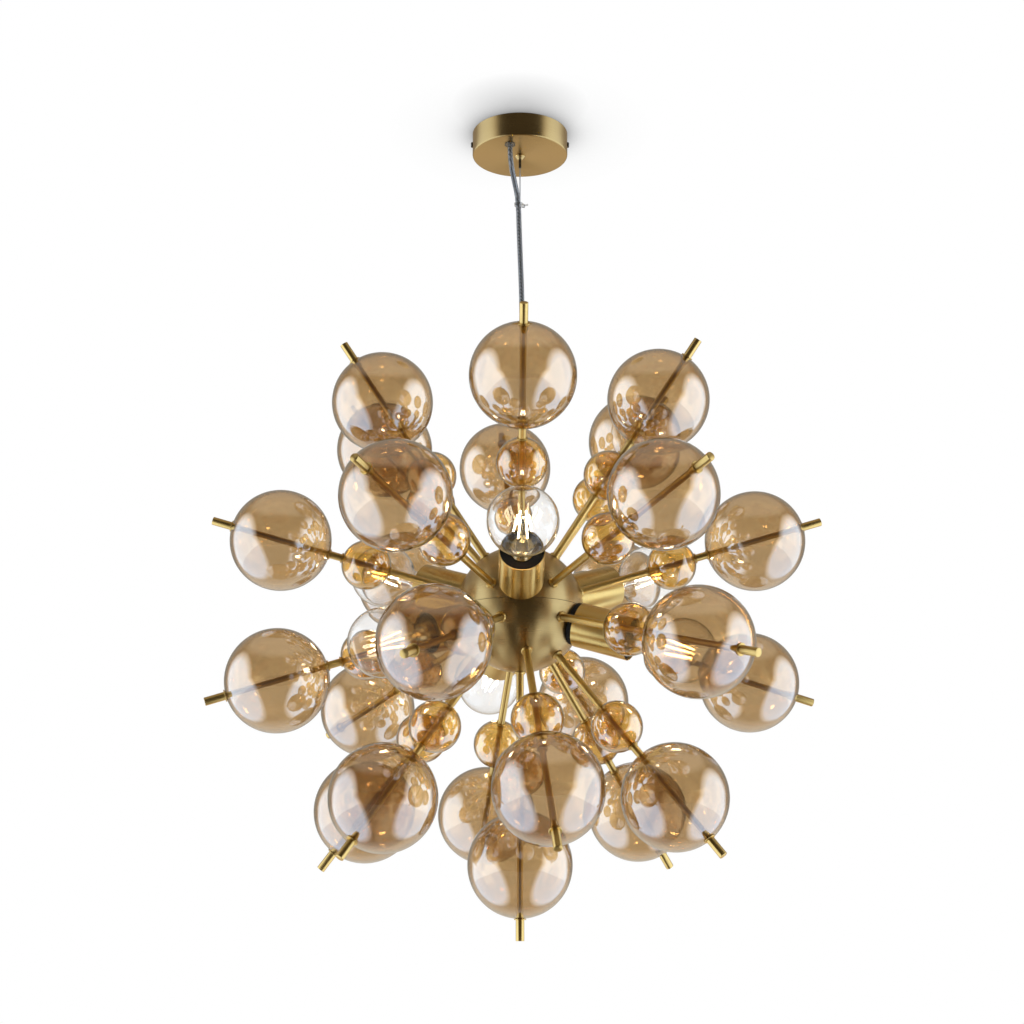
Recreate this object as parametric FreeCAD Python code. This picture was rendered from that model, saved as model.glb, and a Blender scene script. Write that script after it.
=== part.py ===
import FreeCAD, Part
import math
import os

# Sputnik chandelier: a small brass ceiling cup, a steel suspension wire with a clear power cable
# tied beside it, and a hollow brass ball that carries twenty-five arms and six globe lamps.
# Millimetres. +Z is up and the origin is the centre of the ceiling cup on the ceiling plane, so
# everything hangs below Z = 0. Azimuths turn from +X towards +Y, and elevations rise from level.

Vector = FreeCAD.Vector

# ---------------------------------------------------------------- ceiling cup and bracket
CUP_RADIUS = 60.0
CUP_HEIGHT = 30.0
CUP_WALL = 1.2
CUP_EDGE = 2.0
BRACKET_WIDTH = 24.0
BRACKET_THICK = 2.0
BRACKET_GAP = 0.3
EAR_DROP = 20.0
SLOT_SPACING = 70.0
SLOT_LENGTH = 16.0
SLOT_RADIUS = 2.5
SIDE_SCREW_RADIUS = 2.0
SIDE_SCREW_HEAD_RADIUS = 3.6
SIDE_SCREW_HEAD = 2.2
SIDE_SCREW_SHANK = 6.5
SIDE_SCREW_DEPTH = 14.0
CLEARANCE = 0.1
TERMINAL_LENGTH = 28.0
TERMINAL_WIDTH = 18.0
TERMINAL_HEIGHT = 11.0
TERMINAL_WAYS = 3
WIRE_ENTRY_RADIUS = 2.2
SCREW_WELL_RADIUS = 1.8

# ---------------------------------------------------------------- wire gripper
GRIPPER_NECK_RADIUS = 5.0
GRIPPER_FLANGE_RADIUS = 6.8
GRIPPER_FLANGE = 0.8
GRIPPER_NOSE_RADIUS = 3.3
GRIPPER_NOSE = 5.0
GRIPPER_FLOOR = 2.2
GRIPPER_NECK = 13.0
GRIPPER_CROWN = 1.5
GRIPPER_NUT_RADIUS = 8.0
GRIPPER_NUT = 3.0
JAWS_RADIUS = 3.6
JAWS = 5.0
SPRING_RADIUS = 3.4
SPRING_WIRE = 0.8
RELEASE_RADIUS = 1.7
RELEASE_DROP = 16.0
RELEASE_EDGE = 0.4
RELEASE_COLLAR_RADIUS = 3.3
RELEASE_COLLAR = 1.2
RELEASE_TRAVEL = 2.0
PIVOT_GAP = 0.3

# ---------------------------------------------------------------- wire, cable and their fittings
WIRE_RADIUS = 0.75
CABLE_RADIUS = 3.25
WIRE_BORE_GAP = 0.15
BUSH_RADIUS = 5.4
BUSH_LIP_RADIUS = 6.6
BUSH_LIP = 1.2
TIE_SLACK = 0.7
TIE_THICK = 1.2
TIE_HEIGHT = 3.6
TIE_HEAD = 4.4
TIE_TAIL = 5.0
# The power cable's route, chosen by eye: out of the cup, in to the wire, then down beside it.
CABLE_ROUTE = (
    (-12.5, -34.5, -26.5),
    (-12.5, -34.5, -49.0),
    (-7.6, -20.6, -71.0),
    (-2.0, -4.8, -91.5),
    (-1.0, -4.4, -136.0),
    (2.4, -4.9, -222.0),
    (3.1, -4.2, -312.0),
    (1.2, -4.9, -402.0),
    (0.0, -4.6, -480.0),
    (0.0, -4.6, -532.0),
)
TIE_Z = -98.0

# ---------------------------------------------------------------- hub
HUB_DROP = 613.0
HUB_RADIUS = 75.0
HUB_WALL = 1.5
SEAM_LIP_THICK = 1.25
SEAM_LIP_RISE = 4.0
SEAM_LIP_BELOW = 5.0
SEAM_CLEARANCE = 0.25
GLAND_FLANGE_RADIUS = 17.0
GLAND_FLANGE = 3.0
GLAND_NECK_RADIUS = 12.5
GLAND_TOP_RADIUS = 11.8
GLAND_RISE = 16.0
GLAND_NECK_DEPTH = 10.0
GLAND_LIP = 3.0
GLAND_MOUTH_RADIUS = 8.4
PLUG_RADIUS = 10.5
PLUG_HEIGHT = 8.0
TURN_GAP = 0.3
STOP_RADIUS = 2.6
STOP_LENGTH = 10.0
YOKE_RADIUS = 17.0
YOKE_DEPTH = 21.0
YOKE_FLOOR = 3.0
YOKE_WINDOW = 14.0
CORE_RADIUS = 5.0
JUNCTION_LENGTH = 30.0
JUNCTION_WIDTH = 18.0
JUNCTION_HEIGHT = 15.0

# ---------------------------------------------------------------- arms
# Each arm's azimuth and elevation in whole degrees, ring by ring, read off the photograph.
UPPER_RING = ((271, 50), (336, 53), (34, 53), (96, 50), (152, 49), (195, 55))
UPPER_MIDDLE_RING = ((3, 17), (63, 16), (123, 16), (182, 16), (243, 14), (302, 15))
LOWER_MIDDLE_RING = ((14, -15), (73, -14), (134, -18), (189, -18), (252, -17), (311, -15))
LOWER_RING = ((41, -50), (103, -50), (171, -52), (217, -51), (279, -50), (334, -50))
BOTTOM_ARM = ((0, -90),)
UPPER_ARMS = UPPER_RING + UPPER_MIDDLE_RING
LOWER_ARMS = LOWER_MIDDLE_RING + LOWER_RING + BOTTOM_ARM
ALL_ARMS = UPPER_ARMS + LOWER_ARMS

BIG_GLOBE_RADIUS = 60.0
BIG_GLOBE_AT = 295.5
BIG_GLOBE_WALL = 1.5
SMALL_GLOBE_RADIUS = 29.5
SMALL_GLOBE_AT = 189.5
SMALL_GLOBE_WALL = 1.2
TIP_AT = 380.0
ROD_RADIUS = 3.5
ROD_BORE_RADIUS = 2.5
ROD_START = HUB_RADIUS - 11.0
ROD_SHORT_OF_TIP = 3.0
SLEEVE_RADIUS = 4.4
TIP_RADIUS = 4.8
SLIDE_FIT = 0.1
PILOT_RADIUS = 4.7
PILOT_FIT = 0.2
PILOT_SHORT = 3.0
PILOT_LONG = 8.0
FLANGE_RADIUS = 6.3
FLANGE_THICK = 1.3
TIP_FLANGE_RADIUS = 7.0
TIP_EDGE = 0.4
COLLAR_RADIUS = 6.6
COLLAR_TOP_RADIUS = 5.4
COLLAR_HEIGHT = 2.4
ARM_NUT_RADIUS = 6.3
ARM_NUT = 4.0

# ---------------------------------------------------------------- lamps
LAMP_TILT = 17.5
# Azimuth, side of the seam, and how much further than the others the lamp stands off the hub.
LAMPS = ((271, 1, 0.0), (32, 1, 0.0), (153, 1, 0.0), (217, -1, 0.0), (340, -1, 6.0), (102, -1, 0.0))
LAMP_CUP_RADIUS = 26.0
LAMP_CUP_WALL = 1.0
LAMP_CUP_FOOT = HUB_RADIUS - 3.9
LAMP_CUP_LENGTH = 66.9
SOCKET_RADIUS = 24.8
SOCKET_BELOW_RIM = 3.5
SOCKET_BORE_RADIUS = 13.8
SOCKET_BORE_DEPTH = 15.0
NIPPLE_RADIUS = 5.0
NIPPLE_BORE_RADIUS = 3.5
NIPPLE_TOP = HUB_RADIUS + 9.0
NIPPLE_HEAD_RADIUS = 9.0
NIPPLE_HEAD = 4.0
HUB_FIT = 0.3
CONTACT_RADIUS = 4.0
CONTACT_THICK = 1.5
BULB_RADIUS = 39.5
BULB_WALL = 0.9
BULB_ABOVE_CAP = 53.3
NECK_RADIUS = 13.0
NECK_FLARE_RADIUS = 14.6
NECK_FLARE_AT = 44.0
NECK_MEETS_RADIUS = 23.0
CAP_RADIUS = 13.2
CAP_GROOVE = 0.9
CAP_LENGTH = 25.0
CAP_PITCH = 3.629
CAP_TIP_RADIUS = 4.5
CAP_TIP_LENGTH = 5.0
STEM_RADIUS = 3.0
STEM_FOOT_RADIUS = 9.0
FILAMENTS = 6
FILAMENT_RADIUS = 0.8
FILAMENT_LENGTH = 32.0
FILAMENT_LOW_CIRCLE = 10.0
FILAMENT_HIGH_CIRCLE = 6.0
FILAMENT_FOOT = 20.0

HUB_CENTRE = Vector(0, 0, -HUB_DROP)
UP = Vector(0, 0, 1)


def save(node, *solids):
    """Write one node, as one solid or as a group of separate solids."""
    shape = solids[0] if len(solids) == 1 else Part.makeCompound(list(solids))
    shape.exportStep("parts/" + node + ".step")


def direction(azimuth, elevation):
    """The unit vector at an azimuth and an elevation in degrees."""
    turn = math.radians(azimuth)
    rise = math.radians(elevation)
    return Vector(math.cos(rise) * math.cos(turn), math.cos(rise) * math.sin(turn), math.sin(rise))


def from_hub(shape, way):
    """Stand a shape made along +Z on the hub's centre, pointing the given way."""
    placed = shape.copy()
    placed.Placement = FreeCAD.Placement(HUB_CENTRE, FreeCAD.Rotation(UP, way)).multiply(shape.Placement)
    return placed


def turned(outline):
    """A solid turned about Z from a closed outline of (radius, height) points."""
    points = [Vector(radius, 0, height) for radius, height in outline]
    face = Part.Face(Part.makePolygon(points + points[:1]))
    return face.revolve(Vector(0, 0, 0), UP, 360)


def ring(outer, inner, low, high):
    """A plain round tube standing on Z."""
    return turned(((inner, low), (outer, low), (outer, high), (inner, high)))


def arc(start, middle, end):
    """An arc edge through three (radius, height) points."""
    ends = [Vector(radius, 0, height) for radius, height in (start, middle, end)]
    return Part.Arc(*ends).toShape()


def line(start, end):
    """A straight edge between two (radius, height) points."""
    return Part.makeLine(Vector(start[0], 0, start[1]), Vector(end[0], 0, end[1]))


def revolved(edges):
    """A solid turned about Z from a closed loop of edges."""
    face = Part.Face(Part.Wire(edges))
    return face.revolve(Vector(0, 0, 0), UP, 360)


def height_on_ball(radius, out):
    """How high a ball's surface is at a distance out from its axis."""
    return math.sqrt(radius * radius - out * out)


def hexagon(across_corners, low, height):
    """A hexagonal block standing on Z."""
    corners = []
    for step in range(6):
        turn = math.radians(60 * step)
        corners.append(Vector(across_corners * math.cos(turn), across_corners * math.sin(turn), low))
    face = Part.Face(Part.makePolygon(corners + corners[:1]))
    return face.extrude(Vector(0, 0, height))


def tube_along(route, radius):
    """A cord through the route's points: straight runs joined by arcs tangent to both."""
    points = [Vector(*point) for point in route]
    edges = []
    start = points[0]
    radii = []
    for before, corner, after in zip(points, points[1:], points[2:]):
        arrive = corner - before
        leave = after - corner
        shorter = min(arrive.Length, leave.Length)
        turn = arrive.getAngle(leave)
        radii.append(0.45 * shorter / math.tan(turn / 2))
        reach = 0.45 * shorter
        arrive.normalize()
        leave.normalize()
        enter = corner - arrive * reach
        exit_ = corner + leave * reach
        bisector = (leave - arrive).normalize()
        centre = corner + bisector * math.hypot(radii[-1], reach)
        middle = centre - bisector * radii[-1]
        edges.append(Part.LineSegment(start, enter).toShape())
        edges.append(Part.Arc(enter, middle, exit_).toShape())
        start = exit_
    edges.append(Part.LineSegment(start, points[-1]).toShape())
    path = Part.Wire(edges)
    heading = points[1] - points[0]
    section = Part.Wire(Part.makeCircle(radius, points[0], heading))
    tube = path.makePipeShell([section], True, False)
    print("cord radii:", ", ".join("%.0f" % value for value in radii))
    section_volume = math.pi * radius * radius * path.Length
    print("cord length %.1f, volume ratio %.4f" % (path.Length, tube.Volume / section_volume))
    return tube


def globe(radius, wall, at):
    """A thin glass ball on an arm, with a hole at each pole for the fittings' pilots."""
    hole = PILOT_RADIUS + PILOT_FIT
    inner = radius - wall
    outside = height_on_ball(radius, hole)
    inside = height_on_ball(inner, hole)
    edges = [
        arc((hole, at - outside), (radius, at), (hole, at + outside)),
        line((hole, at + outside), (hole, at + inside)),
        arc((hole, at + inside), (inner, at), (hole, at - inside)),
        line((hole, at - inside), (hole, at - outside)),
    ]
    return revolved(edges)


# ---------------------------------------------------------------- the ceiling end
def ceiling_bracket():
    """A steel strap on the ceiling with two slots, and an ear at each end for the side screws."""
    ear_outside = CUP_RADIUS - CUP_WALL - BRACKET_GAP
    reach = math.sqrt(ear_outside ** 2 - (BRACKET_WIDTH / 2) ** 2)
    corner = Vector(-reach, -BRACKET_WIDTH / 2, -BRACKET_THICK)
    strap = Part.makeBox(2 * reach, BRACKET_WIDTH, BRACKET_THICK, corner)
    for side in (-1, 1):
        middle = side * (reach - BRACKET_THICK / 2)
        ear_low = Vector(middle - BRACKET_THICK / 2, -BRACKET_WIDTH / 2, -EAR_DROP)
        strap = strap.fuse(Part.makeBox(BRACKET_THICK, BRACKET_WIDTH, EAR_DROP, ear_low))
    strap = strap.removeSplitter()
    straight = SLOT_LENGTH - 2 * SLOT_RADIUS
    through = 2 * BRACKET_THICK
    for side in (-1, 1):
        slot = Part.makeBox(straight, 2 * SLOT_RADIUS, through, Vector(-straight / 2, -SLOT_RADIUS, 0))
        for end in (-1, 1):
            slot = slot.fuse(Part.makeCylinder(SLOT_RADIUS, through, Vector(end * straight / 2, 0, 0)))
        slot.translate(Vector(side * SLOT_SPACING / 2, 0, -1.5 * BRACKET_THICK))
        strap = strap.cut(slot)
        hole = Part.makeCylinder(
            SIDE_SCREW_RADIUS + CLEARANCE, CUP_RADIUS, Vector(0, 0, -SIDE_SCREW_DEPTH), Vector(side, 0, 0))
        strap = strap.cut(hole)
    return strap


def on_edge(radius):
    """The middle of an arc of this radius round the centre of the cup's rounded edge."""
    return CUP_RADIUS - CUP_EDGE + radius * math.sqrt(0.5), -CUP_HEIGHT + CUP_EDGE - radius * math.sqrt(0.5)


def canopy_cup():
    """The spun ceiling cup, open to the ceiling, with the gripper, cable and side screw holes."""
    inner = CUP_RADIUS - CUP_WALL
    floor = -CUP_HEIGHT + CUP_WALL
    fillet = CUP_EDGE - CUP_WALL
    outside_low = (CUP_RADIUS - CUP_EDGE, -CUP_HEIGHT)
    outside_high = (CUP_RADIUS, -CUP_HEIGHT + CUP_EDGE)
    inside_low = (inner - fillet, floor)
    inside_high = (inner, floor + fillet)
    edges = [
        line((0, -CUP_HEIGHT), outside_low), arc(outside_low, on_edge(CUP_EDGE), outside_high),
        line(outside_high, (CUP_RADIUS, 0)), line((CUP_RADIUS, 0), (inner, 0)), line((inner, 0), inside_high),
        arc(inside_high, on_edge(fillet), inside_low), line(inside_low, (0, floor)),
        line((0, floor), (0, -CUP_HEIGHT)),
    ]
    cup = revolved(edges)
    below = Vector(0, 0, -CUP_HEIGHT - CUP_WALL)
    cup = cup.cut(Part.makeCylinder(GRIPPER_NECK_RADIUS + CLEARANCE, 3 * CUP_WALL, below))
    outlet = Vector(CABLE_ROUTE[0][0], CABLE_ROUTE[0][1], below.z)
    cup = cup.cut(Part.makeCylinder(BUSH_RADIUS + CLEARANCE, 3 * CUP_WALL, outlet))
    side_start = Vector(-2 * CUP_RADIUS, 0, -SIDE_SCREW_DEPTH)
    side_hole = Part.makeCylinder(SIDE_SCREW_RADIUS + CLEARANCE, 4 * CUP_RADIUS, side_start, Vector(1, 0, 0))
    return cup.cut(side_hole)


def canopy_side_screw(side):
    """A round-headed screw through the cup's wall into the bracket's ear."""
    profile = (
        (0, -SIDE_SCREW_SHANK), (SIDE_SCREW_RADIUS, -SIDE_SCREW_SHANK), (SIDE_SCREW_RADIUS, 0),
        (SIDE_SCREW_HEAD_RADIUS, 0),
        (SIDE_SCREW_HEAD_RADIUS, SIDE_SCREW_HEAD * 0.6), (SIDE_SCREW_HEAD_RADIUS * 0.7, SIDE_SCREW_HEAD),
        (0, SIDE_SCREW_HEAD),
    )
    screw = turned(profile)
    seat = Vector(side * CUP_RADIUS, 0, -SIDE_SCREW_DEPTH)
    screw.Placement = FreeCAD.Placement(seat, FreeCAD.Rotation(UP, Vector(side, 0, 0)))
    return screw


def terminal_block():
    """The mains connector under the strap: one block with a wire entry and a screw well per way."""
    block = Part.makeBox(TERMINAL_LENGTH, TERMINAL_WIDTH, TERMINAL_HEIGHT)
    pitch = TERMINAL_LENGTH / TERMINAL_WAYS
    for way in range(TERMINAL_WAYS):
        across = pitch * (way + 0.5)
        middle = Vector(across, 0, TERMINAL_HEIGHT / 2)
        entry = Part.makeCylinder(WIRE_ENTRY_RADIUS, TERMINAL_WIDTH, middle, Vector(0, 1, 0))
        well_foot = Vector(across, TERMINAL_WIDTH / 2, 0)
        well = Part.makeCylinder(SCREW_WELL_RADIUS, TERMINAL_HEIGHT / 2, well_foot)
        block = block.cut(entry).cut(well)
    block.translate(Vector(-TERMINAL_LENGTH / 2, -TERMINAL_WIDTH / 2, -BRACKET_THICK - TERMINAL_HEIGHT))
    return block


def canopy_cable_bush():
    """The bush that lines the cup's cable outlet."""
    bore = CABLE_RADIUS + CLEARANCE / 2
    face = -CUP_HEIGHT
    outline = (
        (bore, face - BUSH_LIP), (BUSH_LIP_RADIUS, face - BUSH_LIP), (BUSH_LIP_RADIUS, face),
        (BUSH_RADIUS, face), (BUSH_RADIUS, face + CUP_WALL), (BUSH_LIP_RADIUS, face + CUP_WALL),
        (BUSH_LIP_RADIUS, face + CUP_WALL + BUSH_LIP), (bore, face + CUP_WALL + BUSH_LIP),
    )
    bush = turned(outline)
    bush.translate(Vector(CABLE_ROUTE[0][0], CABLE_ROUTE[0][1], 0))
    return bush


GRIPPER_LOW = -CUP_HEIGHT - GRIPPER_NOSE
GRIPPER_TOP = GRIPPER_LOW + GRIPPER_NOSE + GRIPPER_NECK
PIVOT_Z = -CUP_HEIGHT - RELEASE_DROP - PIVOT_GAP - WIRE_RADIUS
CHAMBER_RADIUS = JAWS_RADIUS + CLEARANCE
CHAMBER_FLOOR = GRIPPER_LOW + GRIPPER_FLOOR
COLLAR_LOW = CHAMBER_FLOOR + CLEARANCE
CHAMBER_TOP = GRIPPER_TOP - GRIPPER_CROWN
JAWS_LOW = CHAMBER_TOP - CLEARANCE - JAWS


def gripper_body():
    """The flared brass body of the wire gripper, with its threaded neck through the cup."""
    mouth = RELEASE_RADIUS + CLEARANCE
    outline = (
        (mouth, GRIPPER_LOW), (GRIPPER_NOSE_RADIUS, GRIPPER_LOW),
        (GRIPPER_FLANGE_RADIUS, -CUP_HEIGHT - GRIPPER_FLANGE), (GRIPPER_FLANGE_RADIUS, -CUP_HEIGHT),
        (GRIPPER_NECK_RADIUS, -CUP_HEIGHT), (GRIPPER_NECK_RADIUS, GRIPPER_TOP),
        (WIRE_RADIUS + WIRE_BORE_GAP, GRIPPER_TOP), (WIRE_RADIUS + WIRE_BORE_GAP, CHAMBER_TOP),
        (CHAMBER_RADIUS, CHAMBER_TOP), (CHAMBER_RADIUS, CHAMBER_FLOOR), (mouth, CHAMBER_FLOOR),
    )
    return turned(outline)


def gripper_nut():
    """The hexagon nut that clamps the gripper's neck inside the cup."""
    floor = -CUP_HEIGHT + CUP_WALL
    block = hexagon(GRIPPER_NUT_RADIUS, floor, GRIPPER_NUT)
    return block.cut(Part.makeCylinder(GRIPPER_NECK_RADIUS + CLEARANCE / 2, GRIPPER_NUT, Vector(0, 0, floor)))


def gripper_jaws():
    """The tapered jaws that bite on the wire."""
    bore = WIRE_RADIUS + 0.02
    outline = (
        (bore, JAWS_LOW), (JAWS_RADIUS * 0.75, JAWS_LOW), (JAWS_RADIUS, JAWS_LOW + JAWS * 0.6),
        (JAWS_RADIUS, JAWS_LOW + JAWS), (bore, JAWS_LOW + JAWS),
    )
    return turned(outline)


def gripper_spring():
    """The short spring under the jaws, as the sleeve that its turns fill."""
    low = COLLAR_LOW + RELEASE_COLLAR + 0.05
    return ring(SPRING_RADIUS, SPRING_RADIUS - SPRING_WIRE, low, JAWS_LOW - 0.05)


def gripper_release():
    """The sprung release stem: pushed up, it lifts the jaws off the wire."""
    bore = WIRE_RADIUS + WIRE_BORE_GAP + 0.1
    low = -CUP_HEIGHT - RELEASE_DROP
    top = JAWS_LOW - RELEASE_TRAVEL - 2 * CLEARANCE
    outline = (
        (bore, low), (RELEASE_RADIUS - RELEASE_EDGE, low), (RELEASE_RADIUS, low + RELEASE_EDGE),
        (RELEASE_RADIUS, COLLAR_LOW),
        (RELEASE_COLLAR_RADIUS, COLLAR_LOW), (RELEASE_COLLAR_RADIUS, COLLAR_LOW + RELEASE_COLLAR),
        (RELEASE_RADIUS, COLLAR_LOW + RELEASE_COLLAR), (RELEASE_RADIUS, top), (bore, top),
    )
    return turned(outline)


def wire_clamped_end():
    """The wire's upper end, held in the jaws, down to where the hanging wire can bend."""
    low = PIVOT_Z + WIRE_RADIUS + 0.05
    return ring(WIRE_RADIUS, 0, low, GRIPPER_TOP + 2.0)


# ---------------------------------------------------------------- the suspension
HUB_TOP = -HUB_DROP + HUB_RADIUS
GLAND_FOOT = -HUB_DROP + height_on_ball(HUB_RADIUS, GLAND_NECK_RADIUS) + 0.05
GLAND_TOP = GLAND_FOOT + GLAND_RISE
GLAND_LOW = GLAND_FOOT - GLAND_NECK_DEPTH
PLUG_TOP = GLAND_TOP - GLAND_LIP
PLUG_LOW = PLUG_TOP - PLUG_HEIGHT
CABLE_END = Vector(*CABLE_ROUTE[-1])


def suspension_wire():
    """The hanging wire, with a round top end that turns about the gripper's mouth."""
    low = PLUG_LOW - STOP_LENGTH - 1.0
    wire = Part.makeCylinder(WIRE_RADIUS, PIVOT_Z - low, Vector(0, 0, low))
    return wire.fuse(Part.makeSphere(WIRE_RADIUS, Vector(0, 0, PIVOT_Z))).removeSplitter()


def swivel_plug():
    """The round plug on the wire's lower end, which carries the gland's lip and lets the hub turn."""
    plug = ring(PLUG_RADIUS, WIRE_RADIUS + CLEARANCE / 2, PLUG_LOW, PLUG_TOP)
    seat = Vector(CABLE_END.x, CABLE_END.y, PLUG_LOW)
    return plug.cut(Part.makeCylinder(CABLE_RADIUS + CLEARANCE / 2, PLUG_HEIGHT, seat))


def wire_stop():
    """The crimped ferrule under the plug."""
    high = PLUG_LOW - CLEARANCE / 2
    return ring(STOP_RADIUS, WIRE_RADIUS + CLEARANCE / 5, high - STOP_LENGTH, high)


def route_at(height):
    """The point of the cable's route at a height, on its straight runs."""
    for above, below in zip(CABLE_ROUTE, CABLE_ROUTE[1:]):
        if above[2] >= height >= below[2]:
            share = (above[2] - height) / (above[2] - below[2])
            return [start + share * (end - start) for start, end in zip(above, below)]
    return list(CABLE_ROUTE[-1])


def cable_tie():
    """The clear tie round the cable and the wire, an open loop with its tail cut short."""
    at = route_at(TIE_Z)
    reach = math.hypot(at[0], at[1])
    toward = Vector(at[0] / reach, at[1] / reach, 0)
    inside_cable = CABLE_RADIUS + TIE_SLACK
    inside_wire = WIRE_RADIUS + TIE_SLACK
    outer = hull_of_circles(reach, inside_cable + TIE_THICK, inside_wire + TIE_THICK)
    inner = hull_of_circles(reach, inside_cable, inside_wire)
    loop = outer.cut(inner)
    head = Part.makeBox(TIE_HEAD, TIE_HEAD, TIE_HEIGHT, Vector(-TIE_HEAD / 2, inside_wire, 0))
    tail_corner = Vector(0, inside_wire + TIE_HEAD, TIE_HEIGHT / 4)
    tail = Part.makeBox(TIE_THICK, TIE_TAIL, TIE_HEIGHT / 2, tail_corner)
    loop = loop.fuse([head, tail]).cut(inner)
    loop.rotate(Vector(0, 0, 0), UP, math.degrees(math.atan2(toward.y, toward.x)))
    loop.translate(Vector(0, 0, TIE_Z - TIE_HEIGHT / 2))
    return loop


def hull_of_circles(reach, large, small):
    """A flat link round a small circle at the origin and a large one at reach along X."""
    lean = math.asin((large - small) / reach)
    cosine = math.cos(lean)
    sine = math.sin(lean)
    points = []
    for side in (1, -1):
        points.append(Vector(-small * sine, side * small * cosine, 0))
        points.append(Vector(reach - large * sine, side * large * cosine, 0))
    edges = [
        Part.makeLine(points[0], points[1]),
        Part.Arc(points[1], Vector(reach + large, 0, 0), points[3]).toShape(),
        Part.makeLine(points[3], points[2]),
        Part.Arc(points[2], Vector(-small, 0, 0), points[0]).toShape(),
    ]
    return Part.Face(Part.Wire(edges)).extrude(Vector(0, 0, TIE_HEIGHT))


# ---------------------------------------------------------------- the hub
def half_shell(side):
    """One hemisphere of the hub's skin, with the pole's hole left to the cuts."""
    inner = HUB_RADIUS - HUB_WALL
    slope = math.sqrt(0.5)
    edges = [
        arc((HUB_RADIUS, 0), (HUB_RADIUS * slope, side * HUB_RADIUS * slope), (0, side * HUB_RADIUS)),
        line((0, side * HUB_RADIUS), (0, side * inner)),
        arc((0, side * inner), (inner * slope, side * inner * slope), (inner, 0)),
        line((inner, 0), (HUB_RADIUS, 0)),
    ]
    return revolved(edges)


def lamp_ways(side):
    """The directions of the lamps on one side of the seam."""
    return [direction(azimuth, side * LAMP_TILT) for azimuth, half, _ in LAMPS if half == side]


def drilled(shell, arms, side):
    """Drill a shell for its arms and lamps, and move it to the hub's place."""
    depth = HUB_RADIUS + 5
    origin = Vector(0, 0, 0)
    cuts = [Part.makeCylinder(ROD_RADIUS + SLIDE_FIT, depth, origin, direction(*arm)) for arm in arms]
    cuts += [Part.makeCylinder(NIPPLE_RADIUS + SLIDE_FIT, depth, origin, way) for way in lamp_ways(side)]
    shell = shell.cut(cuts)
    shell.translate(HUB_CENTRE)
    return shell


def hub_upper_shell():
    """The upper hemisphere, with the hole for the gland at its pole."""
    shell = half_shell(1).cut(Part.makeCylinder(GLAND_NECK_RADIUS + CLEARANCE, HUB_RADIUS + 5))
    return drilled(shell, UPPER_ARMS, 1)


def hub_lower_shell():
    """The lower hemisphere, with the lip that centres the upper one."""
    inner = HUB_RADIUS - HUB_WALL
    lip_inner = inner - SEAM_CLEARANCE - SEAM_LIP_THICK
    outline = (
        (lip_inner, -SEAM_LIP_BELOW), (inner + HUB_WALL / 3, -SEAM_LIP_BELOW), (inner + HUB_WALL / 3, 0),
        (inner - SEAM_CLEARANCE, 0), (inner - SEAM_CLEARANCE, SEAM_LIP_RISE), (lip_inner, SEAM_LIP_RISE),
    )
    return drilled(half_shell(-1).fuse(turned(outline)), LOWER_ARMS, -1)


def hub_gland():
    """The turned bell on the hub's pole: the plug bears under its lip and it turns round it."""
    chamber = PLUG_RADIUS + TURN_GAP
    outline = (
        (chamber, GLAND_LOW), (GLAND_NECK_RADIUS, GLAND_LOW), (GLAND_NECK_RADIUS, GLAND_FOOT),
        (GLAND_FLANGE_RADIUS, GLAND_FOOT), (GLAND_FLANGE_RADIUS, GLAND_FOOT + GLAND_FLANGE * 0.6),
        (GLAND_TOP_RADIUS + 1.4, GLAND_FOOT + GLAND_FLANGE), (GLAND_TOP_RADIUS, GLAND_TOP - 1.0),
        (GLAND_TOP_RADIUS - 1.0, GLAND_TOP), (GLAND_MOUTH_RADIUS, GLAND_TOP),
        (GLAND_MOUTH_RADIUS, PLUG_TOP + CLEARANCE / 2), (chamber, PLUG_TOP + CLEARANCE / 2),
    )
    return turned(outline)


YOKE_TOP = -HUB_DROP + height_on_ball(HUB_RADIUS - HUB_WALL, YOKE_RADIUS) - 0.1
YOKE_LOW = YOKE_TOP - YOKE_DEPTH


def hub_core_yoke():
    """The cage nut inside the upper pole: it holds the gland and the core tube, with two windows."""
    bore = GLAND_NECK_RADIUS + CLEARANCE / 2
    floor = YOKE_LOW + YOKE_FLOOR
    tube = CORE_RADIUS + CLEARANCE / 2
    outline = (
        (tube, YOKE_LOW), (YOKE_RADIUS, YOKE_LOW), (YOKE_RADIUS, YOKE_TOP), (bore, YOKE_TOP),
        (bore, floor), (tube, floor),
    )
    window_height = GLAND_LOW - floor
    window = Part.makeBox(4 * YOKE_RADIUS, YOKE_WINDOW, window_height)
    window.translate(Vector(-2 * YOKE_RADIUS, -YOKE_WINDOW / 2, floor))
    return turned(outline).cut(window)


ARM_NUT_TOP = height_on_ball(HUB_RADIUS - HUB_WALL, ARM_NUT_RADIUS) - 0.05


def hub_core_tube():
    """The tube between the poles: the lowest arm screws into its foot and draws the shells together."""
    low = -HUB_DROP - ARM_NUT_TOP + ARM_NUT + CLEARANCE / 2
    return ring(CORE_RADIUS, ROD_RADIUS + SLIDE_FIT, low, YOKE_LOW + YOKE_FLOOR + 1.0)


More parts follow.
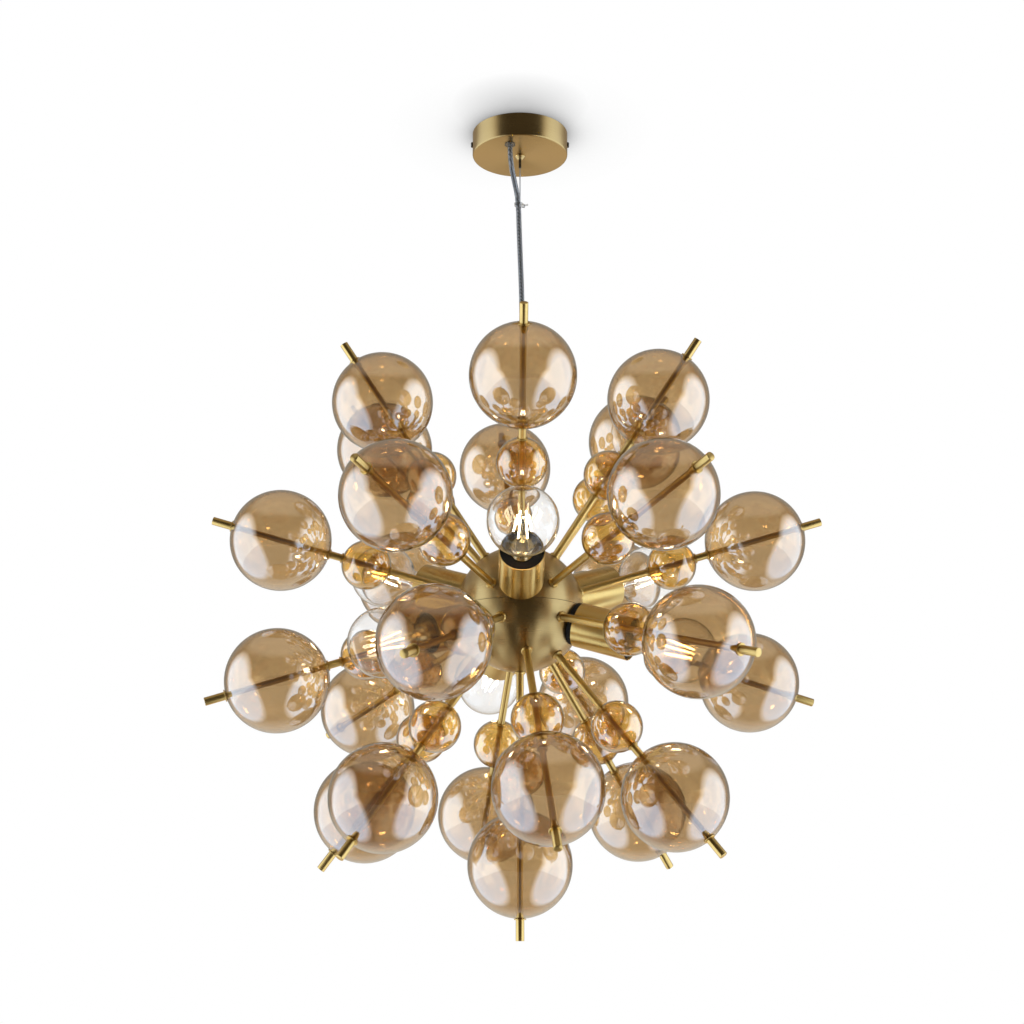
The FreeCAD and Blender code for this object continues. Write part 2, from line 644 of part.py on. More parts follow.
def hub_junction_block():
    """The connector block threaded on the core tube, where the lamps' leads join the cable."""
    corner = Vector(-JUNCTION_LENGTH / 2, -JUNCTION_WIDTH / 2, -HUB_DROP - JUNCTION_HEIGHT / 2)
    block = Part.makeBox(JUNCTION_LENGTH, JUNCTION_WIDTH, JUNCTION_HEIGHT, corner)
    tube = Part.makeCylinder(CORE_RADIUS + CLEARANCE / 2, JUNCTION_HEIGHT, Vector(0, 0, corner.z))
    block = block.cut(tube)
    for side in (-1, 1):
        for level in (-1, 1):
            entry = Vector(side * JUNCTION_LENGTH / 3, corner.y, -HUB_DROP + level * JUNCTION_HEIGHT / 4)
            block = block.cut(Part.makeCylinder(WIRE_ENTRY_RADIUS, JUNCTION_WIDTH, entry, Vector(0, 1, 0)))
    return block


# ---------------------------------------------------------------- the arms' pieces, made along +Z
SMALL_NEAR = SMALL_GLOBE_AT - SMALL_GLOBE_RADIUS
SMALL_FAR = SMALL_GLOBE_AT + SMALL_GLOBE_RADIUS
BIG_NEAR = BIG_GLOBE_AT - BIG_GLOBE_RADIUS
BIG_FAR = BIG_GLOBE_AT + BIG_GLOBE_RADIUS
BORE = ROD_RADIUS + SLIDE_FIT


def arm_rod():
    """The tube that runs from the nut inside the hub to the tip."""
    return ring(ROD_RADIUS, ROD_BORE_RADIUS, ROD_START, TIP_AT - ROD_SHORT_OF_TIP)


def arm_collar():
    """The small flared collar where an arm leaves the hub."""
    outline = (
        (BORE, HUB_RADIUS), (COLLAR_RADIUS, HUB_RADIUS), (COLLAR_RADIUS, HUB_RADIUS + COLLAR_HEIGHT / 2),
        (COLLAR_TOP_RADIUS, HUB_RADIUS + COLLAR_HEIGHT), (BORE, HUB_RADIUS + COLLAR_HEIGHT),
    )
    return turned(outline)


def arm_nut():
    """The hexagon nut inside the hub's skin."""
    low = ARM_NUT_TOP - ARM_NUT
    block = hexagon(ARM_NUT_RADIUS, low, ARM_NUT)
    return block.cut(Part.makeCylinder(ROD_RADIUS + CLEARANCE / 2, ARM_NUT, Vector(0, 0, low)))


def arm_sleeve():
    """The outer tube from the collar to the small globe, ending in a flange and a pilot."""
    outline = (
        (BORE, HUB_RADIUS + COLLAR_HEIGHT), (SLEEVE_RADIUS, HUB_RADIUS + COLLAR_HEIGHT),
        (SLEEVE_RADIUS, SMALL_NEAR - FLANGE_THICK), (FLANGE_RADIUS, SMALL_NEAR - FLANGE_THICK),
        (FLANGE_RADIUS, SMALL_NEAR), (PILOT_RADIUS, SMALL_NEAR), (PILOT_RADIUS, SMALL_NEAR + PILOT_SHORT),
        (BORE, SMALL_NEAR + PILOT_SHORT),
    )
    return turned(outline)


def arm_spacer():
    """The short tube between an arm's two globes, with a flange and a pilot at each end."""
    outline = (
        (BORE, SMALL_FAR - PILOT_SHORT), (PILOT_RADIUS, SMALL_FAR - PILOT_SHORT), (PILOT_RADIUS, SMALL_FAR),
        (FLANGE_RADIUS, SMALL_FAR), (FLANGE_RADIUS, SMALL_FAR + FLANGE_THICK),
        (SLEEVE_RADIUS, SMALL_FAR + FLANGE_THICK), (SLEEVE_RADIUS, BIG_NEAR - FLANGE_THICK),
        (FLANGE_RADIUS, BIG_NEAR - FLANGE_THICK), (FLANGE_RADIUS, BIG_NEAR), (PILOT_RADIUS, BIG_NEAR),
        (PILOT_RADIUS, BIG_NEAR + PILOT_SHORT), (BORE, BIG_NEAR + PILOT_SHORT),
    )
    return turned(outline)


def arm_tip():
    """The blind end cap that screws on the rod and holds the globes on."""
    rod_end = TIP_AT - ROD_SHORT_OF_TIP + CLEARANCE
    outline = (
        (0, rod_end), (BORE, rod_end), (BORE, BIG_FAR - PILOT_LONG), (PILOT_RADIUS, BIG_FAR - PILOT_LONG),
        (PILOT_RADIUS, BIG_FAR), (TIP_FLANGE_RADIUS, BIG_FAR), (TIP_FLANGE_RADIUS, BIG_FAR + FLANGE_THICK),
        (TIP_RADIUS, BIG_FAR + FLANGE_THICK), (TIP_RADIUS, TIP_AT - TIP_EDGE),
        (TIP_RADIUS - TIP_EDGE, TIP_AT), (0, TIP_AT),
    )
    return turned(outline)


# ---------------------------------------------------------------- the lamps' pieces, made along +Z
SOCKET_TOP = LAMP_CUP_FOOT + LAMP_CUP_LENGTH - SOCKET_BELOW_RIM
BORE_FLOOR = SOCKET_TOP - SOCKET_BORE_DEPTH
CONTACT_LOW = BORE_FLOOR + CLEARANCE
BULB_FOOT = CONTACT_LOW + CONTACT_THICK + CLEARANCE
CAP_TOP = BULB_FOOT + CAP_LENGTH
BULB_CENTRE = CAP_TOP + BULB_ABOVE_CAP


def lamp_cup():
    """The brass cup round a lamp holder, open at both ends."""
    rim = LAMP_CUP_FOOT + LAMP_CUP_LENGTH
    return ring(LAMP_CUP_RADIUS, LAMP_CUP_RADIUS - LAMP_CUP_WALL, LAMP_CUP_FOOT, rim)


def lamp_socket(stand_off):
    """The black lamp holder: its foot follows the hub, and its bore takes the bulb's cap."""
    seat = HUB_RADIUS + HUB_FIT
    nipple = NIPPLE_RADIUS + CLEARANCE
    points = (
        (nipple, height_on_ball(seat, nipple)), (nipple, NIPPLE_TOP + CLEARANCE), (0, NIPPLE_TOP + CLEARANCE),
        (0, BORE_FLOOR + stand_off), (SOCKET_BORE_RADIUS, BORE_FLOOR + stand_off),
        (SOCKET_BORE_RADIUS, SOCKET_TOP + stand_off), (SOCKET_RADIUS, SOCKET_TOP + stand_off),
        (SOCKET_RADIUS, height_on_ball(seat, SOCKET_RADIUS)),
    )
    middle = SOCKET_RADIUS / 2
    edges = [line(start, end) for start, end in zip(points, points[1:])]
    edges.append(arc(points[-1], (middle, height_on_ball(seat, middle)), points[0]))
    return revolved(edges)


def lamp_nipple():
    """The threaded tube with a hexagon head that holds a lamp holder to the hub's skin."""
    head_top = height_on_ball(HUB_RADIUS - HUB_WALL, NIPPLE_HEAD_RADIUS) - 0.05
    head = hexagon(NIPPLE_HEAD_RADIUS, head_top - NIPPLE_HEAD, NIPPLE_HEAD)
    shank = Part.makeCylinder(NIPPLE_RADIUS, NIPPLE_TOP - head_top, Vector(0, 0, head_top))
    bore = Part.makeCylinder(NIPPLE_BORE_RADIUS, NIPPLE_TOP, Vector(0, 0, head_top - NIPPLE_HEAD))
    return head.fuse(shank).cut(bore)


def lamp_contact():
    """The sprung centre contact on the floor of a lamp holder."""
    top = CONTACT_LOW + CONTACT_THICK
    outline = (
        (0, CONTACT_LOW), (CONTACT_RADIUS, CONTACT_LOW), (CONTACT_RADIUS, CONTACT_LOW + 0.6),
        (CONTACT_RADIUS * 0.6, top), (0, top),
    )
    return turned(outline)


def bulb_cap():
    """The bulb's screw cap with its round thread, insulator and centre contact."""
    outline = [(0, BULB_FOOT), (CAP_TIP_RADIUS, BULB_FOOT), (CAP_TIP_RADIUS, BULB_FOOT + 1.0)]
    low = BULB_FOOT + CAP_TIP_LENGTH
    outline.append((CAP_RADIUS - 2.5, low))
    crests = int((CAP_LENGTH - CAP_TIP_LENGTH) / CAP_PITCH)
    for crest in range(crests):
        base = low + crest * CAP_PITCH
        outline.append((CAP_RADIUS - CAP_GROOVE, base + 0.4))
        outline.append((CAP_RADIUS, base + CAP_PITCH * 0.4))
        outline.append((CAP_RADIUS, base + CAP_PITCH * 0.7))
    outline.append((CAP_RADIUS - CAP_GROOVE, low + crests * CAP_PITCH))
    outline.append((CAP_RADIUS - CAP_GROOVE, CAP_TOP))
    outline.append((0, CAP_TOP))
    return turned(outline)


def bulb_half_outline(inset):
    """The bulb's glass from its neck to its crown, moved inwards by an inset, and its end points."""
    neck = NECK_RADIUS - inset
    flare = (NECK_FLARE_RADIUS - inset, BULB_CENTRE - NECK_FLARE_AT)
    ball = BULB_RADIUS - inset
    meet = (NECK_MEETS_RADIUS, BULB_CENTRE - height_on_ball(ball, NECK_MEETS_RADIUS))
    bend = ((flare[0] + meet[0]) / 2 - 1.0, (flare[1] + meet[1]) / 2 + 0.9)
    low = (neck, CAP_TOP)
    crown = (0, BULB_CENTRE + ball)
    return [line(low, flare), arc(flare, bend, meet), arc(meet, (ball, BULB_CENTRE), crown)], low, crown


def bulb_glass():
    """The clear globe of a bulb, open at its neck."""
    outer, outer_low, outer_crown = bulb_half_outline(0)
    inner, inner_low, inner_crown = bulb_half_outline(BULB_WALL)
    edges = outer + [line(outer_crown, inner_crown)] + inner[::-1] + [line(inner_low, outer_low)]
    return revolved([edge for edge in Part.sortEdges(edges)[0]])


def bulb_filament():
    """The glass stem and the ring of filaments that it carries."""
    foot = CAP_TOP + CLEARANCE
    low = BULB_CENTRE - FILAMENT_FOOT
    high = low + FILAMENT_LENGTH
    stem = turned((
        (0, foot), (STEM_FOOT_RADIUS, foot), (STEM_FOOT_RADIUS * 0.8, foot + 6), (STEM_RADIUS, foot + 16),
        (STEM_RADIUS, low - 2), (FILAMENT_LOW_CIRCLE + 1, low - 1), (FILAMENT_LOW_CIRCLE + 1, low),
        (STEM_RADIUS / 2, low), (STEM_RADIUS / 2, high), (FILAMENT_HIGH_CIRCLE + 1, high),
        (FILAMENT_HIGH_CIRCLE + 1, high + 1), (0, high + 1),
    ))
    rods = []
    for index in range(FILAMENTS):
        turn = math.radians(360 * index / FILAMENTS)
        cosine = math.cos(turn)
        sine = math.sin(turn)
        start = Vector(FILAMENT_LOW_CIRCLE * cosine, FILAMENT_LOW_CIRCLE * sine, low - 0.5)
        end = Vector(FILAMENT_HIGH_CIRCLE * cosine, FILAMENT_HIGH_CIRCLE * sine, high + 0.5)
        rods.append(Part.makeCylinder(FILAMENT_RADIUS, (end - start).Length, start, end - start))
    return stem.fuse(rods)


def on_arms(piece, arms):
    """A copy of a piece for every arm of a list."""
    return [from_hub(piece, direction(*arm)) for arm in arms]


def further(piece, distance):
    """A copy of a piece made along +Z, moved further out."""
    moved = piece.copy()
    moved.translate(UP * distance)
    return moved


def save_ceiling_end():
    """The pieces that stay with the ceiling."""
    save("ceiling_bracket", ceiling_bracket())
    save("canopy_cup", canopy_cup())
    save("canopy_side_screws", canopy_side_screw(-1), canopy_side_screw(1))
    save("terminal_block", terminal_block())
    save("canopy_cable_bush", canopy_cable_bush())
    save("gripper_body", gripper_body())
    save("gripper_nut", gripper_nut())
    save("gripper_jaws", gripper_jaws())
    save("gripper_spring", gripper_spring())
    save("gripper_release", gripper_release())
    save("wire_clamped_end", wire_clamped_end())


def save_suspension():
    """The pieces that swing without turning."""
    save("suspension_wire", suspension_wire())
    save("power_cable", tube_along(CABLE_ROUTE, CABLE_RADIUS))
    save("cable_tie", cable_tie())
    save("swivel_plug", swivel_plug())
    save("wire_stop", wire_stop())


def save_hub():
    """The hub's skin and what holds it together."""
    save("hub_gland", hub_gland())
    save("hub_upper_shell", hub_upper_shell())
    save("hub_lower_shell", hub_lower_shell())
    save("hub_core_yoke", hub_core_yoke())
    save("hub_core_tube", hub_core_tube())
    save("hub_junction_block", hub_junction_block())


def save_arms():
    """The pieces of the arms, one node for each kind of piece."""
    save("arm_rods", *on_arms(arm_rod(), ALL_ARMS))
    save("arm_collars", *on_arms(arm_collar(), ALL_ARMS))
    save("arm_nuts", *on_arms(arm_nut(), ALL_ARMS))
    save("arm_sleeves", *on_arms(arm_sleeve(), ALL_ARMS))
    save("arm_spacers", *on_arms(arm_spacer(), ALL_ARMS))
    save("arm_tips", *on_arms(arm_tip(), ALL_ARMS))
    big_globe = globe(BIG_GLOBE_RADIUS, BIG_GLOBE_WALL, BIG_GLOBE_AT)
    small_globe = globe(SMALL_GLOBE_RADIUS, SMALL_GLOBE_WALL, SMALL_GLOBE_AT)
    for half, arms in (("upper", UPPER_ARMS), ("lower", LOWER_ARMS)):
        save(half + "_big_globes", *on_arms(big_globe, arms))
        save(half + "_small_globes", *on_arms(small_globe, arms))


def save_lamps():
    """The six lamps: their cups, holders and nipples in shared nodes, and each bulb's own pieces."""
    bulb_pieces = {
        "contact": lamp_contact(),
        "cap": bulb_cap(),
        "glass": bulb_glass(),
        "filament": bulb_filament(),
    }
    cups = []
    sockets = []
    nipples = []
    for number, (azimuth, side, stand_off) in enumerate(LAMPS, 1):
        way = direction(azimuth, side * LAMP_TILT)
        cups.append(from_hub(further(lamp_cup(), stand_off), way))
        sockets.append(from_hub(lamp_socket(stand_off), way))
        nipples.append(from_hub(lamp_nipple(), way))
        for name, piece in bulb_pieces.items():
            save("bulb_%d_%s" % (number, name), from_hub(further(piece, stand_off), way))
    save("lamp_cups", *cups)
    save("lamp_sockets", *sockets)
    save("lamp_nipples", *nipples)


def main():
    os.makedirs("parts", exist_ok=True)
    save_ceiling_end()
    save_suspension()
    save_hub()
    save_arms()
    save_lamps()


main()
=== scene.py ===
import math

import bmesh
import bpy
from mathutils import Matrix, Vector


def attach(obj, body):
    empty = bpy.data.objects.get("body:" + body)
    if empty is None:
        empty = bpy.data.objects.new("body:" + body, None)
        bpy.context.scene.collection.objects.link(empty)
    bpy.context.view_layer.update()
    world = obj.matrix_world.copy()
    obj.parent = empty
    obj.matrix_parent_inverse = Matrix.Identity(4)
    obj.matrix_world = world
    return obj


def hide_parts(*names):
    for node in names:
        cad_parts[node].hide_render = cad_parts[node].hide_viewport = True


bl_info = {
    "name": "Sputnik Chandelier",
    "version": (1, 0, 0),
    "blender": (4, 5, 0),
    "location": "View3D > Sidebar > Chandelier",
    "description": "Dresses a packed sputnik chandelier in brass, amber globes and lit bulbs",
    "category": "Add Mesh",
}

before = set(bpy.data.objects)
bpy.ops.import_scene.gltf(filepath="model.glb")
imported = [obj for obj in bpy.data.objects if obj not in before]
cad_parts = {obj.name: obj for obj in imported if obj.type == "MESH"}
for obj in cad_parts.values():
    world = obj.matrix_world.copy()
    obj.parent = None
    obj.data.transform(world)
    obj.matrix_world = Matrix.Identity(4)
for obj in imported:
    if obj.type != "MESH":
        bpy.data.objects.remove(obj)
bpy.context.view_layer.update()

# Azimuth and elevation of each arm in whole degrees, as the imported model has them.
UPPER_ARMS = (
    (271, 50), (336, 53), (34, 53), (96, 50), (152, 49), (195, 55),
    (3, 17), (63, 16), (123, 16), (182, 16), (243, 14), (302, 15),
)
LOWER_ARMS = (
    (14, -15), (73, -14), (134, -18), (189, -18), (252, -17), (311, -15),
    (41, -50), (103, -50), (171, -52), (217, -51), (279, -50), (334, -50), (0, -90),
)
# Azimuth and elevation of each lamp, and how much further than the others it stands off the hub.
LAMPS = (
    (271, 17.5, 0.0), (32, 17.5, 0.0), (153, 17.5, 0.0),
    (217, -17.5, 0.0), (340, -17.5, 0.006), (102, -17.5, 0.0),
)
# The power cable's route, in metres.
CABLE_ROUTE = (
    (-0.0125, -0.0345, -0.0265),
    (-0.0125, -0.0345, -0.0490),
    (-0.0076, -0.0206, -0.0710),
    (-0.0020, -0.0048, -0.0915),
    (-0.0010, -0.0044, -0.1360),
    (0.0024, -0.0049, -0.2220),
    (0.0031, -0.0042, -0.3120),
    (0.0012, -0.0049, -0.4020),
    (0.0, -0.0046, -0.4800),
    (0.0, -0.0046, -0.5320),
)
# Edges that turn by more than this stay sharp.
SHARP = math.radians(32)

# The photograph's width and the sideways shift of its frame, in pixels.
PHOTO_WIDTH = 1024
PHOTO_SHIFT = -8

# An arm's rounded end, as how far each point is inside its radius and short of its end.
TIP_EDGE = ((0.0, 0.0005), (0.0001, 0.0002), (0.0005, 0.0))
# A bulb's threads and filaments, and where its glass is shaped between the neck's flare and the ball.
THREAD_TURNS = 5
FILAMENTS = 6
NECK_STEPS = (0.3, 0.55, 0.8)
# The glass stem as points of radius and height: its flared foot over the cap, and its post over its low end.
STEM_FOOT = ((0.0, 0.0), (0.009, 0.0), (0.0072, 0.006), (0.0045, 0.011), (0.003, 0.016))
STEM_POST = ((0.003, -0.002), (0.0018, 0.0), (0.0015, 0.032), (0.0008, 0.033), (0.0, 0.033))

# Half the sizes of the stage's plates, and how far the ceiling's plate is above the cup.
FLOOR_HALF = 4.0
CEILING_HALF = 0.6
CEILING_GAP = 0.0006
# The middle of the soft shadow on the ceiling, and how far from it the shadow is full and ends.
SHADOW_AT = (0.0, -0.075, CEILING_GAP)
SHADOW_EDGE = (0.015, 0.085)
# Enough bounces for light to pass through several glass walls.
BOUNCES = 32
# The right soft lamp, with the left one as its mirror, and what both aim at.
SOFT_LAMP_AT = Vector((2.2, -1.0, 0.2))
SOFT_LAMP_AIM = Vector((0, 0, -0.6))

# How far the side panels lean in, and where the room's lights begin and end, in parts of a unit direction.
PANEL_LEAN = 0.5
PANEL_EDGE = (0.72, 0.88)
BACK_EDGE = (0.2, 0.7)
BACK_TOP = (-0.3, 0.0)
OVERHEAD_EDGE = (0.62, 0.8)


# ---------------------------------------------------------------- settings
def length(name, default, description):
    """A length setting in metres."""
    return bpy.props.FloatProperty(
        name=name, description=description, default=default, min=0.0, precision=4, unit="LENGTH")


def colour(name, default, description):
    """A colour setting."""
    return bpy.props.FloatVectorProperty(
        name=name, description=description, default=default, size=3, min=0.0, max=1.0, subtype="COLOR")


def amount(name, default, description, top=1.0):
    """A plain number setting."""
    return bpy.props.FloatProperty(name=name, description=description, default=default, min=0.0, max=top)


class ChandelierCanopy(bpy.types.PropertyGroup):
    """Sizes of the ceiling cup and what comes out of it."""
    radius: length("Cup radius", 0.060, "Outside radius of the ceiling cup")
    height: length("Cup height", 0.030, "Height of the ceiling cup")
    wall: length("Cup wall", 0.0012, "Thickness of the ceiling cup's metal")
    edge: length("Cup edge", 0.002, "Radius of the cup's rounded lower edge")
    cable: length("Cable radius", 0.00325, "Radius of the clear power cable")
    core: length("Core radius", 0.0020, "Radius of the strands inside the clear cable")


class ChandelierHub(bpy.types.PropertyGroup):
    """Sizes of the ball that carries the arms."""
    drop: length("Drop", 0.613, "Distance from the ceiling to the ball's centre")
    radius: length("Radius", 0.075, "Outside radius of the ball")
    wall: length("Wall", 0.0015, "Thickness of the ball's shells")
    seam: length("Seam", 0.00025, "Half the width of the groove between the shells")


class ChandelierArms(bpy.types.PropertyGroup):
    """Sizes of the arms and their globes, measured from the hub's centre."""
    big: length("Big globe radius", 0.060, "Outside radius of a big globe")
    big_at: length("Big globe centre", 0.2955, "Where a big globe's centre stands on its arm")
    big_wall: length("Big globe wall", 0.0015, "Glass thickness of a big globe")
    small: length("Small globe radius", 0.0295, "Outside radius of a small globe")
    small_at: length("Small globe centre", 0.1895, "Where a small globe's centre stands on its arm")
    small_wall: length("Small globe wall", 0.0012, "Glass thickness of a small globe")
    hole_slack: length("Hole slack", 0.0002, "Slack between a neck and the globe's hole")
    rod: length("Rod radius", 0.0035, "Radius of the tube through the globes")
    rod_bore: length("Rod bore", 0.0025, "Radius of the hole through the tube")
    rod_start: length("Rod start", 0.064, "Where the tube begins inside the ball")
    rod_short: length("Rod short of tip", 0.003, "How far the tube stops short of the arm's end")
    slide: length("Slide fit", 0.0001, "Slack between the tube and what slides on it")
    sleeve: length("Sleeve radius", 0.0044, "Radius of the tube outside the globes")
    collar: length("Collar radius", 0.0066, "Radius of the collar on the ball")
    collar_edge: length("Collar edge", 0.0009, "Height of the collar's straight edge")
    collar_break: length("Collar break", 0.0005, "Height over which the collar's edge is broken")
    collar_waist: length("Collar waist", 0.0062, "Radius of the collar above its broken edge")
    collar_top: length("Collar top radius", 0.0054, "Radius of the collar's narrow end")
    collar_height: length("Collar height", 0.0024, "Height of the collar")
    tip: length("Tip radius", 0.0048, "Radius of the arm's round end")
    tip_at: length("Tip", 0.380, "Where an arm ends")
    pilot: length("Pilot radius", 0.0047, "Radius of the neck that sits in a globe's hole")
    pilot_short: length("Short pilot", 0.003, "How far a short neck reaches into a globe")
    pilot_long: length("Long pilot", 0.008, "How far the tip's neck reaches into a globe")
    flange: length("Flange radius", 0.0063, "Radius of the washers against the globes")
    end_flange: length("End flange radius", 0.0070, "Radius of the washer at an arm's tip")
    flange_thick: length("Flange thickness", 0.0013, "Thickness of the washers")


class ChandelierLamps(bpy.types.PropertyGroup):
    """Sizes of the lamps' brass cups, measured from the hub's centre."""
    cup: length("Cup radius", 0.026, "Outside radius of a lamp's brass cup")
    cup_wall: length("Cup wall", 0.001, "Thickness of a lamp's brass cup")
    cup_foot: length("Cup foot", 0.0711, "Where a lamp's brass cup begins")
    cup_rim: length("Cup rim", 0.138, "Where a lamp's brass cup ends")
    cup_edge: length("Cup edge", 0.0004, "Height of the cup's broken edge")


class ChandelierBulbs(bpy.types.PropertyGroup):
    """Sizes of the bulbs, with places measured from the hub's centre."""
    cap_foot: length("Cap foot", 0.1212, "Where a bulb's screw cap begins")
    cap_top: length("Cap top", 0.1462, "Where a bulb's glass begins")
    cap_tip: length("Cap tip radius", 0.0045, "Radius of the cap's button")
    cap_button: length("Cap button", 0.001, "Height of the cap's button")
    cap_shoulder: length("Cap shoulder", 0.0107, "Radius where the cap's cone ends")
    cap_cone: length("Cap cone", 0.005, "Height of the button and the cone")
    cap_root: length("Thread root", 0.0123, "Radius of the cap between its threads")
    pitch: length("Thread pitch", 0.003629, "Height of one turn of the thread")
    crest: length("Thread crest", 0.0009, "Radius of the round crest of the thread")
    crest_at: length("Crest height", 0.0019, "Where the crest stands in its turn")
    crest_end: length("Turn end", 0.0034, "Where the root of a turn ends")
    centre: length("Bulb centre", 0.1995, "Where a bulb's globe is centred")
    radius: length("Bulb radius", 0.0395, "Outside radius of a bulb")
    wall: length("Bulb wall", 0.0009, "Glass thickness of a bulb")
    neck: length("Neck radius", 0.0130, "Radius of the glass at the cap")
    neck_bend: length("Neck bend radius", 0.0134, "Radius of the neck where it starts to flare")
    neck_height: length("Neck height", 0.004, "Height of the straight neck")
    flare: length("Flare radius", 0.0146, "Radius of the neck's flare")
    flare_below: length("Flare", 0.044, "How far the flare is below the bulb's centre")
    meets: length("Neck meets ball", 0.023, "Radius where the neck runs into the ball")
    sag: length("Neck sag", 0.0012, "How far the neck's side curves in")
    stem_gap: length("Stem gap", 0.0001, "Slack between the cap and the glass stem")
    stem_below: length("Stem", 0.020, "How far the stem's post starts below the bulb's centre")
    filament: length("Filament radius", 0.001, "Radius of a filament")
    filament_length: length("Filament length", 0.0325, "Length of a filament")
    filament_below: length("Filament foot", 0.0205, "How far the filaments start below the bulb's centre")
    filament_circle: length("Filament circle", 0.010, "Radius of the circle that the filaments stand on")
    filament_lean: length("Filament lean", 0.004, "How far a filament's top leans in")
    filament_rise: length("Filament rise", 0.033, "Height over which a filament leans in")


class ChandelierFinish(bpy.types.PropertyGroup):
    """Colours and strengths of the finishes."""
    brass: colour("Brass", (0.53, 0.365, 0.15), "Satin brass of the ball and the ceiling cup")
    brass_warm: colour("Warm brass", (0.80, 0.55, 0.19), "Satin brass of the arms and the lamps' cups")
    amber: colour("Amber", (0.82, 0.65, 0.42), "Colour of the big globes' glass")
    amber_deep: colour("Deep amber", (0.95, 0.70, 0.31), "Colour of the small globes' glass")
    # Painted shade: the colour that darkens the globes' glass where it is seen edge-on, towards its rim.
    amber_rim: colour("Amber rim", (0.86, 0.62, 0.34), "What deepens the glass towards its rim")
    lustre: amount("Lustre", 2.5, "Index of the globes' lustre coat", 4.0)
    bulb_clear: colour("Bulb glass", (0.985, 0.98, 0.97), "Colour of the clear bulbs' glass")
    glow: colour("Glow", (1.0, 0.80, 0.46), "Colour of the lit filaments")
    glow_strength: amount("Glow strength", 60.0, "How bright the filaments are", 200.0)
    cap: colour("Cap", (0.75, 0.58, 0.28), "Pressed brass of the screw caps")
    cap_shade: colour("Cap shade", (0.62, 0.44, 0.18), "Darker tone of the screw caps")
    black: colour("Black", (0.008, 0.008, 0.008), "Plastic of the lamp holders")
    black_fleck: colour("Black fleck", (0.02, 0.019, 0.018), "Paler flecks in the plastic")
    zinc: colour("Zinc", (0.58, 0.58, 0.56), "Zinc-plated steel")
    steel: colour("Steel", (0.62, 0.62, 0.61), "Bright steel")
    blackened: colour("Blackened", (0.10, 0.085, 0.07), "Blackened steel")
    jacket: colour("Jacket", (0.80, 0.80, 0.79), "Clear plastic of the cable")
    jacket_shade: colour("Jacket shade", (0.70, 0.70, 0.69), "Darker tone of the clear plastic")
    strand: colour("Strand", (0.46, 0.46, 0.46), "Tinned strands in the cable")
    # Painted shade: the dark colour of the gaps between the strands.
    strand_shade: colour("Strand shade", (0.13, 0.13, 0.14), "Gaps between the strands")


class ChandelierStudio(bpy.types.PropertyGroup):
    """The camera, the stage and the light of the studio."""
    lens: bpy.props.FloatProperty(
        name="Lens", description="Focal length on a sensor of the width below", default=59.88,
        subtype="DISTANCE_CAMERA")
    sensor: bpy.props.FloatProperty(
        name="Sensor", description="Width of the camera's sensor", default=36.0, subtype="DISTANCE_CAMERA")
    distance: length("Distance", 1.9776, "How far the camera stands in front of the hub")
    below: length("Below", 0.9991, "How far the camera is below the ceiling")
    pitch: bpy.props.FloatProperty(
        name="Pitch", description="How far the camera looks up", default=math.radians(14.32), subtype="ANGLE")
    shift: bpy.props.FloatProperty(
        name="Shift", description="Sideways shift of the picture", default=PHOTO_SHIFT / PHOTO_WIDTH)
    floor: length("Floor", 2.2, "How far the floor is below the ceiling")
    pale: colour("Pale floor", (0.86, 0.86, 0.86), "Colour of the floor")
    paler: colour("Paler floor", (0.90, 0.90, 0.90), "Paler tone of the floor")
    lamp_power: amount("Lamp power", 4.0, "Power of each soft lamp in watts", 500.0)
    lamp_size: length("Lamp size", 1.2, "Width of each soft lamp")
    side_light: amount("Side light", 2.0, "Brightness of the white panels at the sides", 5.0)
    front_dark: amount("Front dark", 0.10, "Brightness of the dim room in front", 5.0)
    overhead: amount("Overhead", 0.35, "Brightness overhead", 5.0)
    back_light: amount("Back light", 0.8, "Brightness of the low pale wall behind", 5.0)
    back_high: amount("Back high", 0.45, "Share of the back light that is left above")
    room_tone: colour("Room tone", (1.0, 0.88, 0.72), "Tone of the dim room")
    panel_tone: colour("Panel tone", (0.71, 0.83, 1.0), "Tone of the panels at the sides")


SETTINGS = {
    "chandelier_canopy": ChandelierCanopy,
    "chandelier_hub": ChandelierHub,
    "chandelier_arms": ChandelierArms,
    "chandelier_lamps": ChandelierLamps,
    "chandelier_bulbs": ChandelierBulbs,
    "chandelier_finish": ChandelierFinish,
    "chandelier_studio": ChandelierStudio,
}


# ---------------------------------------------------------------- mesh helpers
def bow(centre, radius, start, end, steps):
    """Points (radius, height) on an arc round a centre, from one angle to another in degrees."""
    points = []
    for step in range(steps + 1):
        turn = math.radians(start + (end - start) * step / steps)
        points.append((centre[0] + radius * math.cos(turn), centre[1] + radius * math.sin(turn)))
    return points


